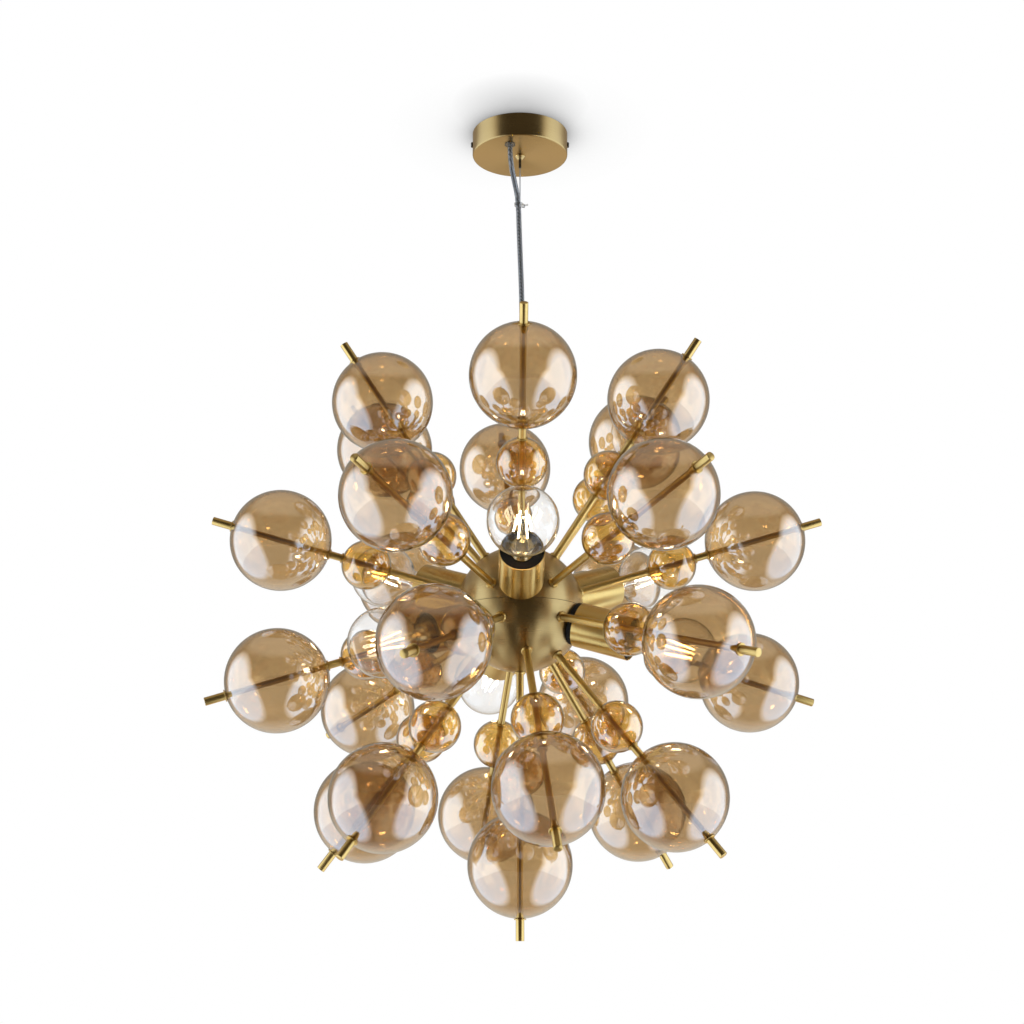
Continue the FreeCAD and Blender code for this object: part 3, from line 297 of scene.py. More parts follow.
def turned(outline, steps=48, closed=True):
    """A mesh turned about Z from an outline of (radius, height) points, with a UV map in metres."""
    bm = bmesh.new()
    along = bm.verts.layers.float.new("along")
    verts = [bm.verts.new((radius, 0.0, height)) for radius, height in outline]
    travelled = 0.0
    for before, vert in zip(verts, verts[1:]):
        travelled += (vert.co - before.co).length
        vert[along] = travelled
    edges = [bm.edges.new(pair) for pair in zip(verts, verts[1:])]
    if closed:
        edges.append(bm.edges.new((verts[-1], verts[0])))
    bmesh.ops.spin(
        bm, geom=verts + edges, cent=(0, 0, 0), axis=(0, 0, 1), angle=math.tau, steps=steps, use_merge=True)
    bmesh.ops.remove_doubles(bm, verts=bm.verts, dist=1e-7)
    bmesh.ops.recalc_face_normals(bm, faces=bm.faces)
    uv = bm.loops.layers.uv.new("Turned")
    around = max(radius for radius, _ in outline)
    for face in bm.faces:
        turns = [math.atan2(loop.vert.co.y, loop.vert.co.x) for loop in face.loops]
        wrapped = max(turns) - min(turns) > math.pi
        for loop, turn in zip(face.loops, turns):
            if wrapped and turn < 0:
                turn += math.tau
            loop[uv].uv = (turn * around, loop.vert[along])
    mesh = bpy.data.meshes.new("turned")
    bm.to_mesh(mesh)
    bm.free()
    return mesh


def direction(azimuth, elevation):
    """The unit vector at an azimuth and an elevation in degrees."""
    turn = math.radians(azimuth)
    rise = math.radians(elevation)
    return Vector((math.cos(rise) * math.cos(turn), math.cos(rise) * math.sin(turn), math.sin(rise)))


def along_arm(azimuth, elevation, further=0.0):
    """The move that stands a mesh made along +Z on the hub's centre, pointing along an arm."""
    hub = bpy.context.scene.chandelier_hub
    way = direction(azimuth, elevation)
    turn = way.to_track_quat("Z", "Y").to_matrix().to_4x4()
    return Matrix.Translation(Vector((0, 0, -hub.drop)) + way * further) @ turn


def copies(name, base, places):
    """One object with a copy of a mesh at each place."""
    bm = bmesh.new()
    for place in places:
        count = len(bm.verts)
        bm.from_mesh(base)
        bm.verts.ensure_lookup_table()
        bmesh.ops.transform(bm, matrix=place, verts=bm.verts[count:])
    return finished(name, bm)


def finished(name, bm):
    """An object made from a bmesh, smooth except at its sharp edges."""
    mesh = bpy.data.meshes.new(name)
    bm.to_mesh(mesh)
    bm.free()
    mesh.shade_smooth()
    mesh.set_sharp_from_angle(angle=SHARP)
    piece = bpy.data.objects.new(name, mesh)
    bpy.context.scene.collection.objects.link(piece)
    return piece


def dress(piece, finish, slot, body, *nodes):
    """Give a piece its finish, let it ride on its body and stand for its CAD nodes."""
    piece.data.materials.append(finish)
    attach(piece, body)
    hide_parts(*nodes)
    return piece


def paint(finish, *nodes):
    """Give CAD nodes that keep their own shape a finish."""
    for node in nodes:
        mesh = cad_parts[node].data
        mesh.materials.clear()
        mesh.materials.append(finish)


# ---------------------------------------------------------------- finishes
def finish_nodes(name):
    """A new material with its nodes, links and main shader."""
    material = bpy.data.materials.new(name)
    material.use_nodes = True
    nodes = material.node_tree.nodes
    return material, nodes, material.node_tree.links, nodes["Principled BSDF"]


def coordinate(nodes, kind="Object"):
    """A texture coordinate of a kind."""
    return nodes.new("ShaderNodeTexCoord").outputs[kind]


def once(make):
    """Keep a material that a function makes from the finish settings, so that later pieces share it."""
    def kept(*words):
        name = "_".join((make.__name__,) + words)
        found = bpy.data.materials.get(name)
        return found or make(name, bpy.context.scene.chandelier_finish, *words)
    return kept


def noise(nodes, links, vector, scale, stretch=(1, 1, 1), detail=3.0):
    """A noise texture on a stretched coordinate."""
    mapping = nodes.new("ShaderNodeMapping")
    mapping.inputs["Scale"].default_value = stretch
    links.new(vector, mapping.inputs["Vector"])
    texture = nodes.new("ShaderNodeTexNoise")
    texture.inputs["Scale"].default_value = scale
    texture.inputs["Detail"].default_value = detail
    links.new(mapping.outputs["Vector"], texture.inputs["Vector"])
    return texture.outputs["Fac"]


def ranged(nodes, links, value, low, high, start=0.3, end=0.7):
    """A value moved into a range."""
    node = nodes.new("ShaderNodeMapRange")
    node.inputs["From Min"].default_value = start
    node.inputs["From Max"].default_value = end
    node.inputs["To Min"].default_value = low
    node.inputs["To Max"].default_value = high
    links.new(value, node.inputs["Value"])
    return node.outputs["Result"]


def reckoned(nodes, links, operation, *values):
    """The result of a math node on numbers and on what other nodes give."""
    node = nodes.new("ShaderNodeMath")
    node.operation = operation
    for socket, value in zip(node.inputs, values):
        if isinstance(value, float):
            socket.default_value = value
        else:
            links.new(value, socket)
    return node.outputs["Value"]


def mixed(nodes, links, factor, first, second):
    """A colour between two, chosen by a factor."""
    node = nodes.new("ShaderNodeMix")
    node.data_type = "RGBA"
    node.inputs["A"].default_value = (*first, 1.0)
    node.inputs["B"].default_value = (*second, 1.0)
    links.new(factor, node.inputs["Factor"])
    return node.outputs["Result"]


def toned(nodes, links, shader, factor, first, second):
    """Give the shader a base colour between two, chosen by a factor."""
    links.new(mixed(nodes, links, factor, first, second), shader.inputs["Base Color"])


def bump(nodes, links, shader, height, strength, distance):
    """Give the shader a bump from a height."""
    node = nodes.new("ShaderNodeBump")
    node.inputs["Strength"].default_value = strength
    node.inputs["Distance"].default_value = distance
    links.new(height, node.inputs["Height"])
    links.new(node.outputs["Normal"], shader.inputs["Normal"])


@once
def satin_brass(name, look, grain):
    """Brushed satin brass: the grain runs round a turned piece, or in rings on a flat face."""
    tone = look.brass_warm if grain == "turned" else look.brass
    darker = [part * 0.78 for part in tone]
    material, nodes, links, shader = finish_nodes(name)
    place = nodes.new("ShaderNodeTexCoord")
    if grain == "turned":
        fine = noise(nodes, links, place.outputs["UV"], 1.0, (60, 5200, 1), 4.0)
    else:
        apart = nodes.new("ShaderNodeSeparateXYZ")
        links.new(place.outputs["Object"], apart.inputs["Vector"])
        flat = nodes.new("ShaderNodeCombineXYZ")
        links.new(apart.outputs["X"], flat.inputs["X"])
        links.new(apart.outputs["Y"], flat.inputs["Y"])
        out = nodes.new("ShaderNodeVectorMath")
        out.operation = "LENGTH"
        links.new(flat.outputs["Vector"], out.inputs[0])
        rings = nodes.new("ShaderNodeCombineXYZ")
        links.new(out.outputs["Value"], rings.inputs["X"])
        links.new(apart.outputs["Z"], rings.inputs["Y"])
        fine = noise(nodes, links, rings.outputs["Vector"], 1.0, (3800, 3800, 1), 4.0)
    broad = noise(nodes, links, place.outputs["Object"], 22.0)
    toned(nodes, links, shader, ranged(nodes, links, fine, 0.0, 0.6), tone, darker)
    grained = ranged(nodes, links, fine, 0.27, 0.35)
    clouded = ranged(nodes, links, broad, -0.03, 0.04)
    links.new(reckoned(nodes, links, "ADD", grained, clouded), shader.inputs["Roughness"])
    shader.inputs["Metallic"].default_value = 1.0
    shader.inputs["Anisotropic"].default_value = 0.8
    shader.inputs["Anisotropic Rotation"].default_value = 0.25
    tangent = nodes.new("ShaderNodeTangent")
    if grain == "turned":
        tangent.direction_type = "UV_MAP"
        tangent.uv_map = "Turned"
    else:
        tangent.direction_type = "RADIAL"
        tangent.axis = "Z"
    links.new(tangent.outputs["Tangent"], shader.inputs["Tangent"])
    bump(nodes, links, shader, fine, 0.12, 0.0002)
    return material


@once
def amber_glass(name, look, depth):
    """Thin blown glass with an amber lustre, a little uneven in tone, with painted shade that deepens its
    colour towards the rim where it is seen edge-on.
    """
    tone = look.amber if depth == "light" else look.amber_deep
    paler = [min(1.0, part * 1.08 + 0.02) for part in tone]
    material, nodes, links, shader = finish_nodes(name)
    place = nodes.new("ShaderNodeTexCoord")
    cloudy = noise(nodes, links, place.outputs["Object"], 14.0)
    # Painted shade: the base colour is darkened towards the rim, by how edge-on the glass faces the view.
    rim = nodes.new("ShaderNodeLayerWeight")
    deeper = nodes.new("ShaderNodeMix")
    deeper.data_type = "RGBA"
    deeper.blend_type = "MULTIPLY"
    deeper.inputs["B"].default_value = (*look.amber_rim, 1.0)
    links.new(ranged(nodes, links, rim.outputs["Facing"], 0.0, 1.0, 0.6, 0.95), deeper.inputs["Factor"])
    links.new(mixed(nodes, links, ranged(nodes, links, cloudy, 0.0, 1.0), tone, paler), deeper.inputs["A"])
    links.new(deeper.outputs["Result"], shader.inputs["Base Color"])
    shader.inputs["Transmission Weight"].default_value = 1.0
    shader.inputs["IOR"].default_value = 1.45
    shader.inputs["Roughness"].default_value = 0.0
    shader.inputs["Coat Weight"].default_value = 1.0
    shader.inputs["Coat Roughness"].default_value = 0.01
    shader.inputs["Coat IOR"].default_value = look.lustre
    bump(nodes, links, shader, noise(nodes, links, place.outputs["Object"], 30.0), 0.05, 0.0004)
    return material


@once
def clear_glass(name, look):
    """Clear bulb glass with very faint unevenness."""
    material, nodes, links, shader = finish_nodes(name)
    shader.inputs["Base Color"].default_value = (*look.bulb_clear, 1)
    shader.inputs["Transmission Weight"].default_value = 1.0
    shader.inputs["IOR"].default_value = 1.4
    shader.inputs["Roughness"].default_value = 0.0
    bump(nodes, links, shader, noise(nodes, links, coordinate(nodes), 40.0), 0.03, 0.0003)
    return material


@once
def black_holder(name, look):
    """Matte black moulded plastic."""
    material, nodes, links, shader = finish_nodes(name)
    speckle = noise(nodes, links, coordinate(nodes), 2200.0)
    toned(nodes, links, shader, speckle, look.black, look.black_fleck)
    links.new(ranged(nodes, links, speckle, 0.42, 0.58), shader.inputs["Roughness"])
    shader.inputs["Specular IOR Level"].default_value = 0.25
    bump(nodes, links, shader, speckle, 0.2, 0.0001)
    return material


@once
def cap_brass(name, look):
    """Bright pressed brass of the bulbs' screw caps."""
    material, nodes, links, shader = finish_nodes(name)
    cloudy = noise(nodes, links, coordinate(nodes), 180.0)
    toned(nodes, links, shader, cloudy, look.cap, look.cap_shade)
    links.new(ranged(nodes, links, cloudy, 0.14, 0.26), shader.inputs["Roughness"])
    shader.inputs["Metallic"].default_value = 1.0
    return material


@once
def plated_steel(name, look, tone):
    """Zinc-plated, bright or blackened steel."""
    shade = {"zinc": look.zinc, "bright": look.steel, "dark": look.blackened}[tone]
    material, nodes, links, shader = finish_nodes(name)
    cloudy = noise(nodes, links, coordinate(nodes), 260.0)
    toned(nodes, links, shader, cloudy, shade, [part * 0.7 for part in shade])
    links.new(ranged(nodes, links, cloudy, 0.25, 0.42), shader.inputs["Roughness"])
    shader.inputs["Metallic"].default_value = 1.0
    bump(nodes, links, shader, cloudy, 0.1, 0.0001)
    return material


@once
def clear_jacket(name, look):
    """Clear soft plastic of the cable, its bush and the tie."""
    material, nodes, links, shader = finish_nodes(name)
    cloudy = noise(nodes, links, coordinate(nodes), 90.0)
    toned(nodes, links, shader, cloudy, look.jacket, look.jacket_shade)
    shader.inputs["Transmission Weight"].default_value = 0.9
    shader.inputs["IOR"].default_value = 1.45
    shader.inputs["Roughness"].default_value = 0.08
    bump(nodes, links, shader, cloudy, 0.08, 0.0003)
    return material


@once
def strands(name, look):
    """Tinned strands twisted under the clear jacket, with painted shade in the gaps between them."""
    material, nodes, links, shader = finish_nodes(name)
    twist = nodes.new("ShaderNodeTexWave")
    twist.bands_direction = "DIAGONAL"
    twist.inputs["Scale"].default_value = 140.0
    twist.inputs["Distortion"].default_value = 1.5
    links.new(coordinate(nodes), twist.inputs["Vector"])
    # Painted shade in the gaps between the strands, as dark bands of the wave.
    toned(nodes, links, shader, twist.outputs["Fac"], look.strand, look.strand_shade)
    shader.inputs["Metallic"].default_value = 0.6
    shader.inputs["Roughness"].default_value = 0.38
    bump(nodes, links, shader, twist.outputs["Fac"], 0.4, 0.0004)
    return material


@once
def filament_glow(name, look):
    """A lit filament, whiter in beads along it."""
    material, nodes, links, shader = finish_nodes(name)
    beads = noise(nodes, links, coordinate(nodes, "UV"), 1.0, (80, 420, 1))
    whiter = [0.5 + 0.5 * part for part in look.glow]
    links.new(mixed(nodes, links, beads, look.glow, whiter), shader.inputs["Emission Color"])
    shader.inputs["Base Color"].default_value = (*look.glow, 1)
    shader.inputs["Emission Strength"].default_value = look.glow_strength
    shader.inputs["Roughness"].default_value = 0.5
    return material


# ---------------------------------------------------------------- pieces
class CHANDELIER_OT_canopy(bpy.types.Operator):
    """Build the spun ceiling cup, its bush, the gripper and the hidden fittings' finishes"""
    bl_idname = "chandelier.canopy"
    bl_label = "Ceiling cup"

    def execute(self, context):
        sizes = context.scene.chandelier_canopy
        inner = sizes.radius - sizes.wall
        low = -sizes.height
        corner = (sizes.radius - sizes.edge, low + sizes.edge)
        outline = [(0.0, low), (sizes.radius * 0.5, low)]
        outline += bow(corner, sizes.edge, -90, 0, 6)
        outline += [(sizes.radius, -sizes.height * 0.5), (sizes.radius, 0.0), (inner, 0.0)]
        outline += bow(corner, sizes.edge - sizes.wall, 0, -90, 4)
        outline.append((0.0, low + sizes.wall))
        cup = copies("ceiling_cup", turned(outline, 96), [Matrix.Identity(4)])
        dress(cup, satin_brass("rings"), "spun_brass", "ceiling_mount", "canopy_cup")
        paint(plated_steel("zinc"), "ceiling_bracket", "gripper_nut")
        paint(plated_steel("dark"), "canopy_side_screws", "gripper_release")
        paint(plated_steel("bright"), "wire_clamped_end", "gripper_spring")
        paint(satin_brass("rings"), "gripper_body", "gripper_jaws")
        paint(black_holder(), "terminal_block")
        paint(clear_jacket(), "canopy_cable_bush")
        return {"FINISHED"}


class CHANDELIER_OT_suspension(bpy.types.Operator):
    """Lay the clear power cable with its strands, and finish the wire, tie and swivel"""
    bl_idname = "chandelier.suspension"
    bl_label = "Wire and cable"

    def execute(self, context):
        sizes = context.scene.chandelier_canopy
        core = self.cord("power_cable_strands", sizes.core, CABLE_ROUTE)
        jacket = self.cord("power_cable_jacket", sizes.cable, CABLE_ROUTE)
        core.data.materials.append(strands())
        jacket.data.materials.append(clear_jacket())
        for piece in (core, jacket):
            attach(piece, "suspension")
        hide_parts("power_cable")
        paint(clear_jacket(), "cable_tie")
        paint(plated_steel("bright"), "suspension_wire", "wire_stop", "swivel_plug")
        return {"FINISHED"}

    def cord(self, name, radius, route):
        """A round cord on a smooth curve through the route."""
        curve = bpy.data.curves.new(name, "CURVE")
        curve.dimensions = "3D"
        curve.bevel_depth = radius
        curve.bevel_resolution = 5
        curve.use_fill_caps = True
        spline = curve.splines.new("NURBS")
        spline.points.add(len(route) - 1)
        for point, place in zip(spline.points, route):
            point.co = (*place, 1.0)
        spline.order_u = 3
        spline.resolution_u = 10
        spline.use_endpoint_u = True
        cord = bpy.data.objects.new(name, curve)
        bpy.context.scene.collection.objects.link(cord)
        return cord


class CHANDELIER_OT_hub(bpy.types.Operator):
    """Build the ball's two brass shells with the groove of their seam, and finish what is inside"""
    bl_idname = "chandelier.hub"
    bl_label = "Hub"

    def execute(self, context):
        sizes = context.scene.chandelier_hub
        inner = sizes.radius - sizes.wall
        tilt = math.degrees(math.asin(sizes.seam / sizes.radius))
        centre = (0.0, -sizes.drop)
        for side, node in ((1, "hub_upper_shell"), (-1, "hub_lower_shell")):
            outline = bow(centre, sizes.radius, side * tilt, side * 90, 40)
            outline += bow(centre, inner, side * 90, side * tilt, 20)
            shell = copies(node + "_skin", turned(outline, 96), [Matrix.Identity(4)])
            dress(shell, satin_brass("rings"), "hub_brass", "pendant", node)
        paint(satin_brass("rings"), "hub_gland")
        paint(plated_steel("zinc"), "hub_core_yoke", "hub_core_tube", "arm_nuts", "lamp_nipples")
        paint(black_holder(), "hub_junction_block")
        return {"FINISHED"}


class CHANDELIER_OT_arms(bpy.types.Operator):
    """Build the arms: collars, sleeves, rods, spacers and tips"""
    bl_idname = "chandelier.arms"
    bl_label = "Arms"

    def execute(self, context):
        hub = context.scene.chandelier_hub
        sizes = context.scene.chandelier_arms
        small_near = sizes.small_at - sizes.small
        small_far = sizes.small_at + sizes.small
        big_near = sizes.big_at - sizes.big
        big_far = sizes.big_at + sizes.big
        bore = sizes.rod + sizes.slide
        thick = sizes.flange_thick
        collar_edge = hub.radius + sizes.collar_edge
        collar_top = hub.radius + sizes.collar_height
        rod_end = sizes.tip_at - sizes.rod_short
        tip_floor = rod_end + sizes.slide
        pilot_foot = big_far - sizes.pilot_long
        outlines = {
            "arm_collars": [
                (bore, hub.radius), (sizes.collar, hub.radius), (sizes.collar, collar_edge),
                (sizes.collar_waist, collar_edge + sizes.collar_break), (sizes.collar_top, collar_top),
                (bore, collar_top)],
            "arm_rods": [
                (sizes.rod_bore, sizes.rod_start), (sizes.rod, sizes.rod_start), (sizes.rod, rod_end),
                (sizes.rod_bore, rod_end)],
            "arm_sleeves": [
                (bore, collar_top), (sizes.sleeve, collar_top), (sizes.sleeve, small_near - thick)]
                + self.washer(sizes.flange, small_near - thick, small_near)
                + self.neck(sizes, bore, small_near),
            "arm_spacers": [
                (bore, small_far - sizes.pilot_short), (sizes.pilot, small_far - sizes.pilot_short),
                (sizes.pilot, small_far)]
                + self.washer(sizes.flange, small_far, small_far + thick)
                + [(sizes.sleeve, small_far + thick), (sizes.sleeve, big_near - thick)]
                + self.washer(sizes.flange, big_near - thick, big_near)
                + self.neck(sizes, bore, big_near),
            "arm_tips": [
                (0.0, tip_floor), (bore, tip_floor), (bore, pilot_foot), (sizes.pilot, pilot_foot),
                (sizes.pilot, big_far)]
                + self.washer(sizes.end_flange, big_far, big_far + thick)
                + [(sizes.tip, big_far + thick)]
                + [(sizes.tip - inward, sizes.tip_at - short) for inward, short in TIP_EDGE]
                + [(0.0, sizes.tip_at)],
        }
        places = [along_arm(*arm) for arm in UPPER_ARMS + LOWER_ARMS]
        for node, outline in outlines.items():
            pieces = copies(node + "_brass", turned(outline, 28), places)
            dress(pieces, satin_brass("turned"), "arm_brass", "pendant", node)
        return {"FINISHED"}

    def washer(self, radius, low, high):
        """The outline of a flange with its edges just broken."""
        edge = (high - low) * 0.25
        return [(radius - edge, low), (radius, low + edge), (radius, high - edge), (radius - edge, high)]

    def neck(self, sizes, bore, globe):
        """The outline of the short neck that reaches into a globe, from where the globe begins."""
        end = globe + sizes.pilot_short
        return [(sizes.pilot, globe), (sizes.pilot, end), (bore, end)]


class CHANDELIER_OT_globes(bpy.types.Operator):
    """Blow the amber glass globes, with a hole at each pole"""
    bl_idname = "chandelier.globes"
    bl_label = "Globes"

    def execute(self, context):
        sizes = context.scene.chandelier_arms
        hole = sizes.pilot + sizes.hole_slack
        for half, arms in (("upper", UPPER_ARMS), ("lower", LOWER_ARMS)):
            places = [along_arm(*arm) for arm in arms]
            big = turned(self.ball(sizes.big, sizes.big_wall, sizes.big_at, hole, 44), 72)
            globes = copies(half + "_big_glass", big, places)
            dress(globes, amber_glass("light"), "amber_glass", "pendant", half + "_big_globes")
            small = turned(self.ball(sizes.small, sizes.small_wall, sizes.small_at, hole, 28), 48)
            globes = copies(half + "_small_glass", small, places)
            dress(globes, amber_glass("deep"), "amber_glass", "pendant", half + "_small_globes")
        return {"FINISHED"}

    def ball(self, radius, wall, at, hole, steps):
        """The outline of a hollow ball's wall, from its near pole's hole to its far one and back."""
        outside = math.degrees(math.acos(hole / radius))
        inside = math.degrees(math.acos(hole / (radius - wall)))
        outline = bow((0.0, at), radius, -outside, outside, steps)
        outline += bow((0.0, at), radius - wall, inside, -inside, steps)
        return outline


class CHANDELIER_OT_lamps(bpy.types.Operator):
    """Build the lamps' brass cups, black holders and lit clear bulbs"""
    bl_idname = "chandelier.lamps"
    bl_label = "Lamps"

    def execute(self, context):
        bulb = context.scene.chandelier_bulbs
        places = [along_arm(*lamp) for lamp in LAMPS]
        cups = copies("lamp_cups_brass", turned(self.cup(context.scene.chandelier_lamps), 72), places)
        dress(cups, satin_brass("turned"), "cup_brass", "pendant", "lamp_cups")
        paint(black_holder(), "lamp_sockets")
        cap = turned(self.cap(bulb), 48)
        glass = turned(self.side(bulb, 0.0) + self.side(bulb, bulb.wall)[::-1], 64)
        stem = turned(self.stem(bulb), 24)
        rod = turned(self.rod(bulb), 10)
        for number, place in enumerate(places, 1):
            body = "bulb_%d" % number
            dress(copies(body + "_screw_cap", cap, [place]), cap_brass(), "cap_brass", body, body + "_cap")
            dress(copies(body + "_globe", glass, [place]), clear_glass(), "bulb_glass", body, body + "_glass")
            carrier = copies(body + "_stem", stem, [place])
            dress(carrier, clear_glass(), "bulb_glass", body, body + "_filament")
            lit = copies(body + "_filaments", rod, [place @ move for move in self.filament_places(bulb)])
            dress(lit, filament_glow(), "filament", body)
            paint(cap_brass(), body + "_contact")
        return {"FINISHED"}

    def cup(self, sizes):
        """The outline of a brass cup's wall, with its rim just broken."""
        inside = sizes.cup - sizes.cup_wall
        shoulder = sizes.cup_rim - sizes.cup_edge
        broken = sizes.cup_edge / 2
        return [
            (inside, sizes.cup_foot), (sizes.cup, sizes.cup_foot), (sizes.cup, shoulder),
            (sizes.cup - broken, sizes.cup_rim), (inside + broken, sizes.cup_rim), (inside, shoulder)]

    def cap(self, bulb):
        """The outline of the screw cap, with a round crest for each turn of its thread."""
        foot = bulb.cap_foot
        thread = foot + bulb.cap_cone
        outline = [
            (0.0, foot), (bulb.cap_tip, foot), (bulb.cap_tip, foot + bulb.cap_button),
            (bulb.cap_shoulder, thread)]
        for turn in range(THREAD_TURNS):
            base = thread + turn * bulb.pitch
            outline += bow((bulb.cap_root, base + bulb.crest_at), bulb.crest, -60, 60, 4)
            outline.append((bulb.cap_root, base + bulb.crest_end))
        return outline + [(bulb.cap_root, bulb.cap_top), (0.0, bulb.cap_top)]

    def side(self, bulb, inset):
        """One side of the bulb's glass, from its neck to its crown."""
        ball = bulb.radius - inset
        meet = math.degrees(math.acos(bulb.meets / ball))
        meet_at = bulb.centre - ball * math.sin(math.radians(meet))
        flare = bulb.flare - inset
        flare_at = bulb.centre - bulb.flare_below
        points = [
            (bulb.neck - inset, bulb.cap_top), (bulb.neck_bend - inset, bulb.cap_top + bulb.neck_height),
            (flare, flare_at)]
        for step in NECK_STEPS:
            sag = bulb.sag * math.sin(math.pi * step)
            out = flare + (bulb.meets - flare) * step - sag
            points.append((out, flare_at + (meet_at - flare_at) * step + sag))
        return points + bow((0.0, bulb.centre), ball, -meet, 90, 30)

    def stem(self, bulb):
        """The outline of the glass stem that carries the filaments."""
        foot = bulb.cap_top + bulb.stem_gap
        low = bulb.centre - bulb.stem_below
        outline = [(radius, foot + height) for radius, height in STEM_FOOT]
        return outline + [(radius, low + height) for radius, height in STEM_POST]

    def rod(self, bulb):
        """The outline of one filament, standing on its foot."""
        top = bulb.filament_length
        return [(0.0, 0.0), (bulb.filament, 0.0), (bulb.filament, top), (0.0, top)]

    def filament_places(self, bulb):
        """Where the leaning filaments stand, in the bulb's own upright frame."""
        foot = Matrix.Translation((bulb.filament_circle, 0, bulb.centre - bulb.filament_below))
        lean = Matrix.Rotation(-math.atan2(bulb.filament_lean, bulb.filament_rise), 4, "Y")
        turns = [Matrix.Rotation(math.tau * index / FILAMENTS, 4, "Z") for index in range(FILAMENTS)]
        return [turn @ foot @ lean for turn in turns]


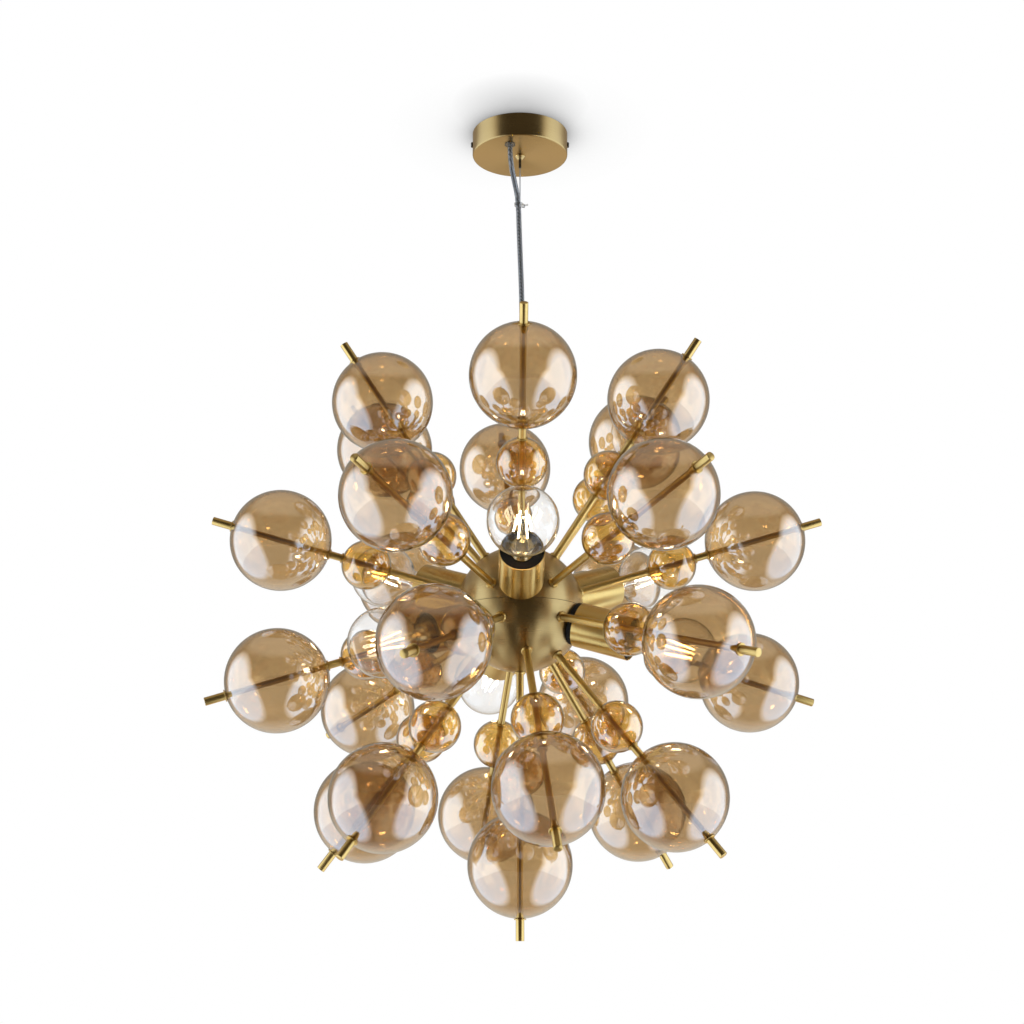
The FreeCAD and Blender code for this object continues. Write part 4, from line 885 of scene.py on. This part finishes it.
class CHANDELIER_OT_stage(bpy.types.Operator):
    """Set up the pale floor and ceiling, the soft light and the camera"""
    bl_idname = "chandelier.stage"
    bl_label = "Studio"

    def execute(self, context):
        studio = context.scene.chandelier_studio
        self.camera(context, studio)
        self.world(context, studio)
        floor = self.plate("studio_floor", FLOOR_HALF, -studio.floor)
        floor.data.materials.append(self.floor_finish(studio))
        floor.visible_glossy = False
        ceiling = self.plate("studio_ceiling", CEILING_HALF, CEILING_GAP)
        ceiling.data.materials.append(self.ceiling_finish())
        for side in (-1, 1):
            self.soft_lamp(context, studio, Vector((side * SOFT_LAMP_AT.x, SOFT_LAMP_AT.y, SOFT_LAMP_AT.z)))
        context.scene.view_settings.view_transform = "Standard"
        context.scene.cycles.max_bounces = BOUNCES
        context.scene.cycles.transmission_bounces = BOUNCES
        context.scene.cycles.transparent_max_bounces = BOUNCES
        return {"FINISHED"}

    def soft_lamp(self, context, studio, place):
        """A soft lamp that does not mirror itself in the brass and the glass."""
        light = bpy.data.lights.new("soft_side", "AREA")
        light.energy = studio.lamp_power
        light.size = studio.lamp_size
        lamp = bpy.data.objects.new("soft_side", light)
        lamp.location = place
        lamp.rotation_euler = (SOFT_LAMP_AIM - place).to_track_quat("-Z", "Y").to_euler()
        lamp.visible_glossy = False
        lamp.visible_transmission = False
        context.scene.collection.objects.link(lamp)

    def camera(self, context, studio):
        """The camera in front of the hub, looking up at it."""
        data = bpy.data.cameras.new("studio_camera")
        data.sensor_width = studio.sensor
        data.lens = studio.lens
        data.shift_x = studio.shift
        camera = bpy.data.objects.new("studio_camera", data)
        camera.location = (0.0, -studio.distance, -studio.below)
        camera.rotation_euler = (math.pi / 2 + studio.pitch, 0.0, 0.0)
        context.scene.collection.objects.link(camera)
        context.scene.camera = camera

    def plate(self, name, half, height):
        """A flat square plate of the stage that faces down."""
        bm = bmesh.new()
        bmesh.ops.create_grid(bm, x_segments=1, y_segments=1, size=half)
        bmesh.ops.reverse_faces(bm, faces=bm.faces)
        bmesh.ops.translate(bm, verts=bm.verts, vec=(0, 0, height))
        mesh = bpy.data.meshes.new(name)
        bm.to_mesh(mesh)
        bm.free()
        plate = bpy.data.objects.new(name, mesh)
        bpy.context.scene.collection.objects.link(plate)
        return plate

    def floor_finish(self, studio):
        """A pale matte floor."""
        material, nodes, links, shader = finish_nodes("pale_floor")
        cloudy = noise(nodes, links, coordinate(nodes), 3.0)
        toned(nodes, links, shader, cloudy, studio.pale, studio.paler)
        shader.inputs["Roughness"].default_value = 0.9
        return material

    def ceiling_finish(self):
        """A white ceiling seen from below only, with a soft shadow round what touches it."""
        material, nodes, links, shader = finish_nodes("white_ceiling")
        nodes.remove(shader)
        near = nodes.new("ShaderNodeAmbientOcclusion")
        near.inputs["Distance"].default_value = 0.11
        near.samples = 12
        away = nodes.new("ShaderNodeVectorMath")
        away.operation = "DISTANCE"
        away.inputs[1].default_value = SHADOW_AT
        links.new(coordinate(nodes), away.inputs[0])
        corners = ranged(nodes, links, near.outputs["AO"], 0.35, 1.0, 0.45, 0.98)
        shadow = ranged(nodes, links, away.outputs["Value"], 0.72, 1.0, *SHADOW_EDGE)
        glow = nodes.new("ShaderNodeEmission")
        links.new(reckoned(nodes, links, "MULTIPLY", corners, shadow), glow.inputs["Strength"])
        clear = nodes.new("ShaderNodeBsdfTransparent")
        side = nodes.new("ShaderNodeNewGeometry")
        path = nodes.new("ShaderNodeLightPath")
        seen = path.outputs["Is Camera Ray"]
        from_below = reckoned(nodes, links, "GREATER_THAN", seen, side.outputs["Backfacing"])
        choose = nodes.new("ShaderNodeMixShader")
        links.new(from_below, choose.inputs["Fac"])
        links.new(clear.outputs["BSDF"], choose.inputs[1])
        links.new(glow.outputs["Emission"], choose.inputs[2])
        links.new(choose.outputs["Shader"], nodes["Material Output"].inputs["Surface"])
        return material

    def world(self, context, studio):
        """White panels at the sides that lean in below, a low pale wall behind, a dim room in front and
        above, and white where the camera looks."""
        world = bpy.data.worlds.new("studio_world")
        world.use_nodes = True
        nodes = world.node_tree.nodes
        links = world.node_tree.links
        room = nodes["Background"]
        apart = nodes.new("ShaderNodeSeparateXYZ")
        links.new(coordinate(nodes, "Generated"), apart.inputs["Vector"])
        across = reckoned(nodes, links, "ABSOLUTE", apart.outputs["X"])
        low = reckoned(nodes, links, "MINIMUM", apart.outputs["Z"], 0.0)
        lean = reckoned(nodes, links, "MULTIPLY_ADD", low, -PANEL_LEAN, across)
        panels = ranged(nodes, links, lean, 0.0, 1.0, *PANEL_EDGE)
        sides = reckoned(nodes, links, "MULTIPLY", panels, studio.side_light)
        back = ranged(nodes, links, apart.outputs["Y"], studio.front_dark, studio.back_light, *BACK_EDGE)
        left_above = ranged(nodes, links, apart.outputs["Z"], 1.0, studio.back_high, *BACK_TOP)
        behind = reckoned(nodes, links, "MULTIPLY", back, left_above)
        above = ranged(nodes, links, apart.outputs["Z"], 0.0, studio.overhead, *OVERHEAD_EDGE)
        walls = reckoned(nodes, links, "MAXIMUM", sides, behind)
        links.new(reckoned(nodes, links, "MAXIMUM", walls, above), room.inputs["Strength"])
        links.new(mixed(nodes, links, panels, studio.room_tone, studio.panel_tone), room.inputs["Color"])
        white = nodes.new("ShaderNodeBackground")
        white.inputs["Color"].default_value = (1, 1, 1, 1)
        path = nodes.new("ShaderNodeLightPath")
        straight = reckoned(nodes, links, "LESS_THAN", path.outputs["Glossy Depth"], 0.5)
        through = reckoned(nodes, links, "MULTIPLY", straight, path.outputs["Is Transmission Ray"])
        seen = reckoned(nodes, links, "MAXIMUM", path.outputs["Is Camera Ray"], through)
        choose = nodes.new("ShaderNodeMixShader")
        links.new(seen, choose.inputs["Fac"])
        links.new(room.outputs["Background"], choose.inputs[1])
        links.new(white.outputs["Background"], choose.inputs[2])
        links.new(choose.outputs["Shader"], nodes["World Output"].inputs["Surface"])
        context.scene.world = world


OPERATORS = (
    CHANDELIER_OT_canopy,
    CHANDELIER_OT_suspension,
    CHANDELIER_OT_hub,
    CHANDELIER_OT_arms,
    CHANDELIER_OT_globes,
    CHANDELIER_OT_lamps,
    CHANDELIER_OT_stage,
)


class CHANDELIER_PT_sidebar(bpy.types.Panel):
    """The chandelier's settings and pieces"""
    bl_idname = "CHANDELIER_PT_sidebar"
    bl_label = "Chandelier"
    bl_space_type = "VIEW_3D"
    bl_region_type = "UI"
    bl_category = "Chandelier"

    def draw(self, context):
        for name in SETTINGS:
            box = self.layout.box()
            group = getattr(context.scene, name)
            for setting in group.__annotations__:
                box.prop(group, setting)
        for operator in OPERATORS:
            self.layout.operator(operator.bl_idname)


def register():
    for name, group in SETTINGS.items():
        bpy.utils.register_class(group)
        setattr(bpy.types.Scene, name, bpy.props.PointerProperty(type=group))
    for operator in OPERATORS:
        bpy.utils.register_class(operator)
    bpy.utils.register_class(CHANDELIER_PT_sidebar)


def unregister():
    bpy.utils.unregister_class(CHANDELIER_PT_sidebar)
    for operator in OPERATORS[::-1]:
        bpy.utils.unregister_class(operator)
    for name, group in SETTINGS.items():
        delattr(bpy.types.Scene, name)
        bpy.utils.unregister_class(group)


def main():
    """Build every piece."""
    register()
    bpy.ops.chandelier.canopy()
    bpy.ops.chandelier.suspension()
    bpy.ops.chandelier.hub()
    bpy.ops.chandelier.arms()
    bpy.ops.chandelier.globes()
    bpy.ops.chandelier.lamps()
    bpy.ops.chandelier.stage()


if __name__ == "__main__":
    main()
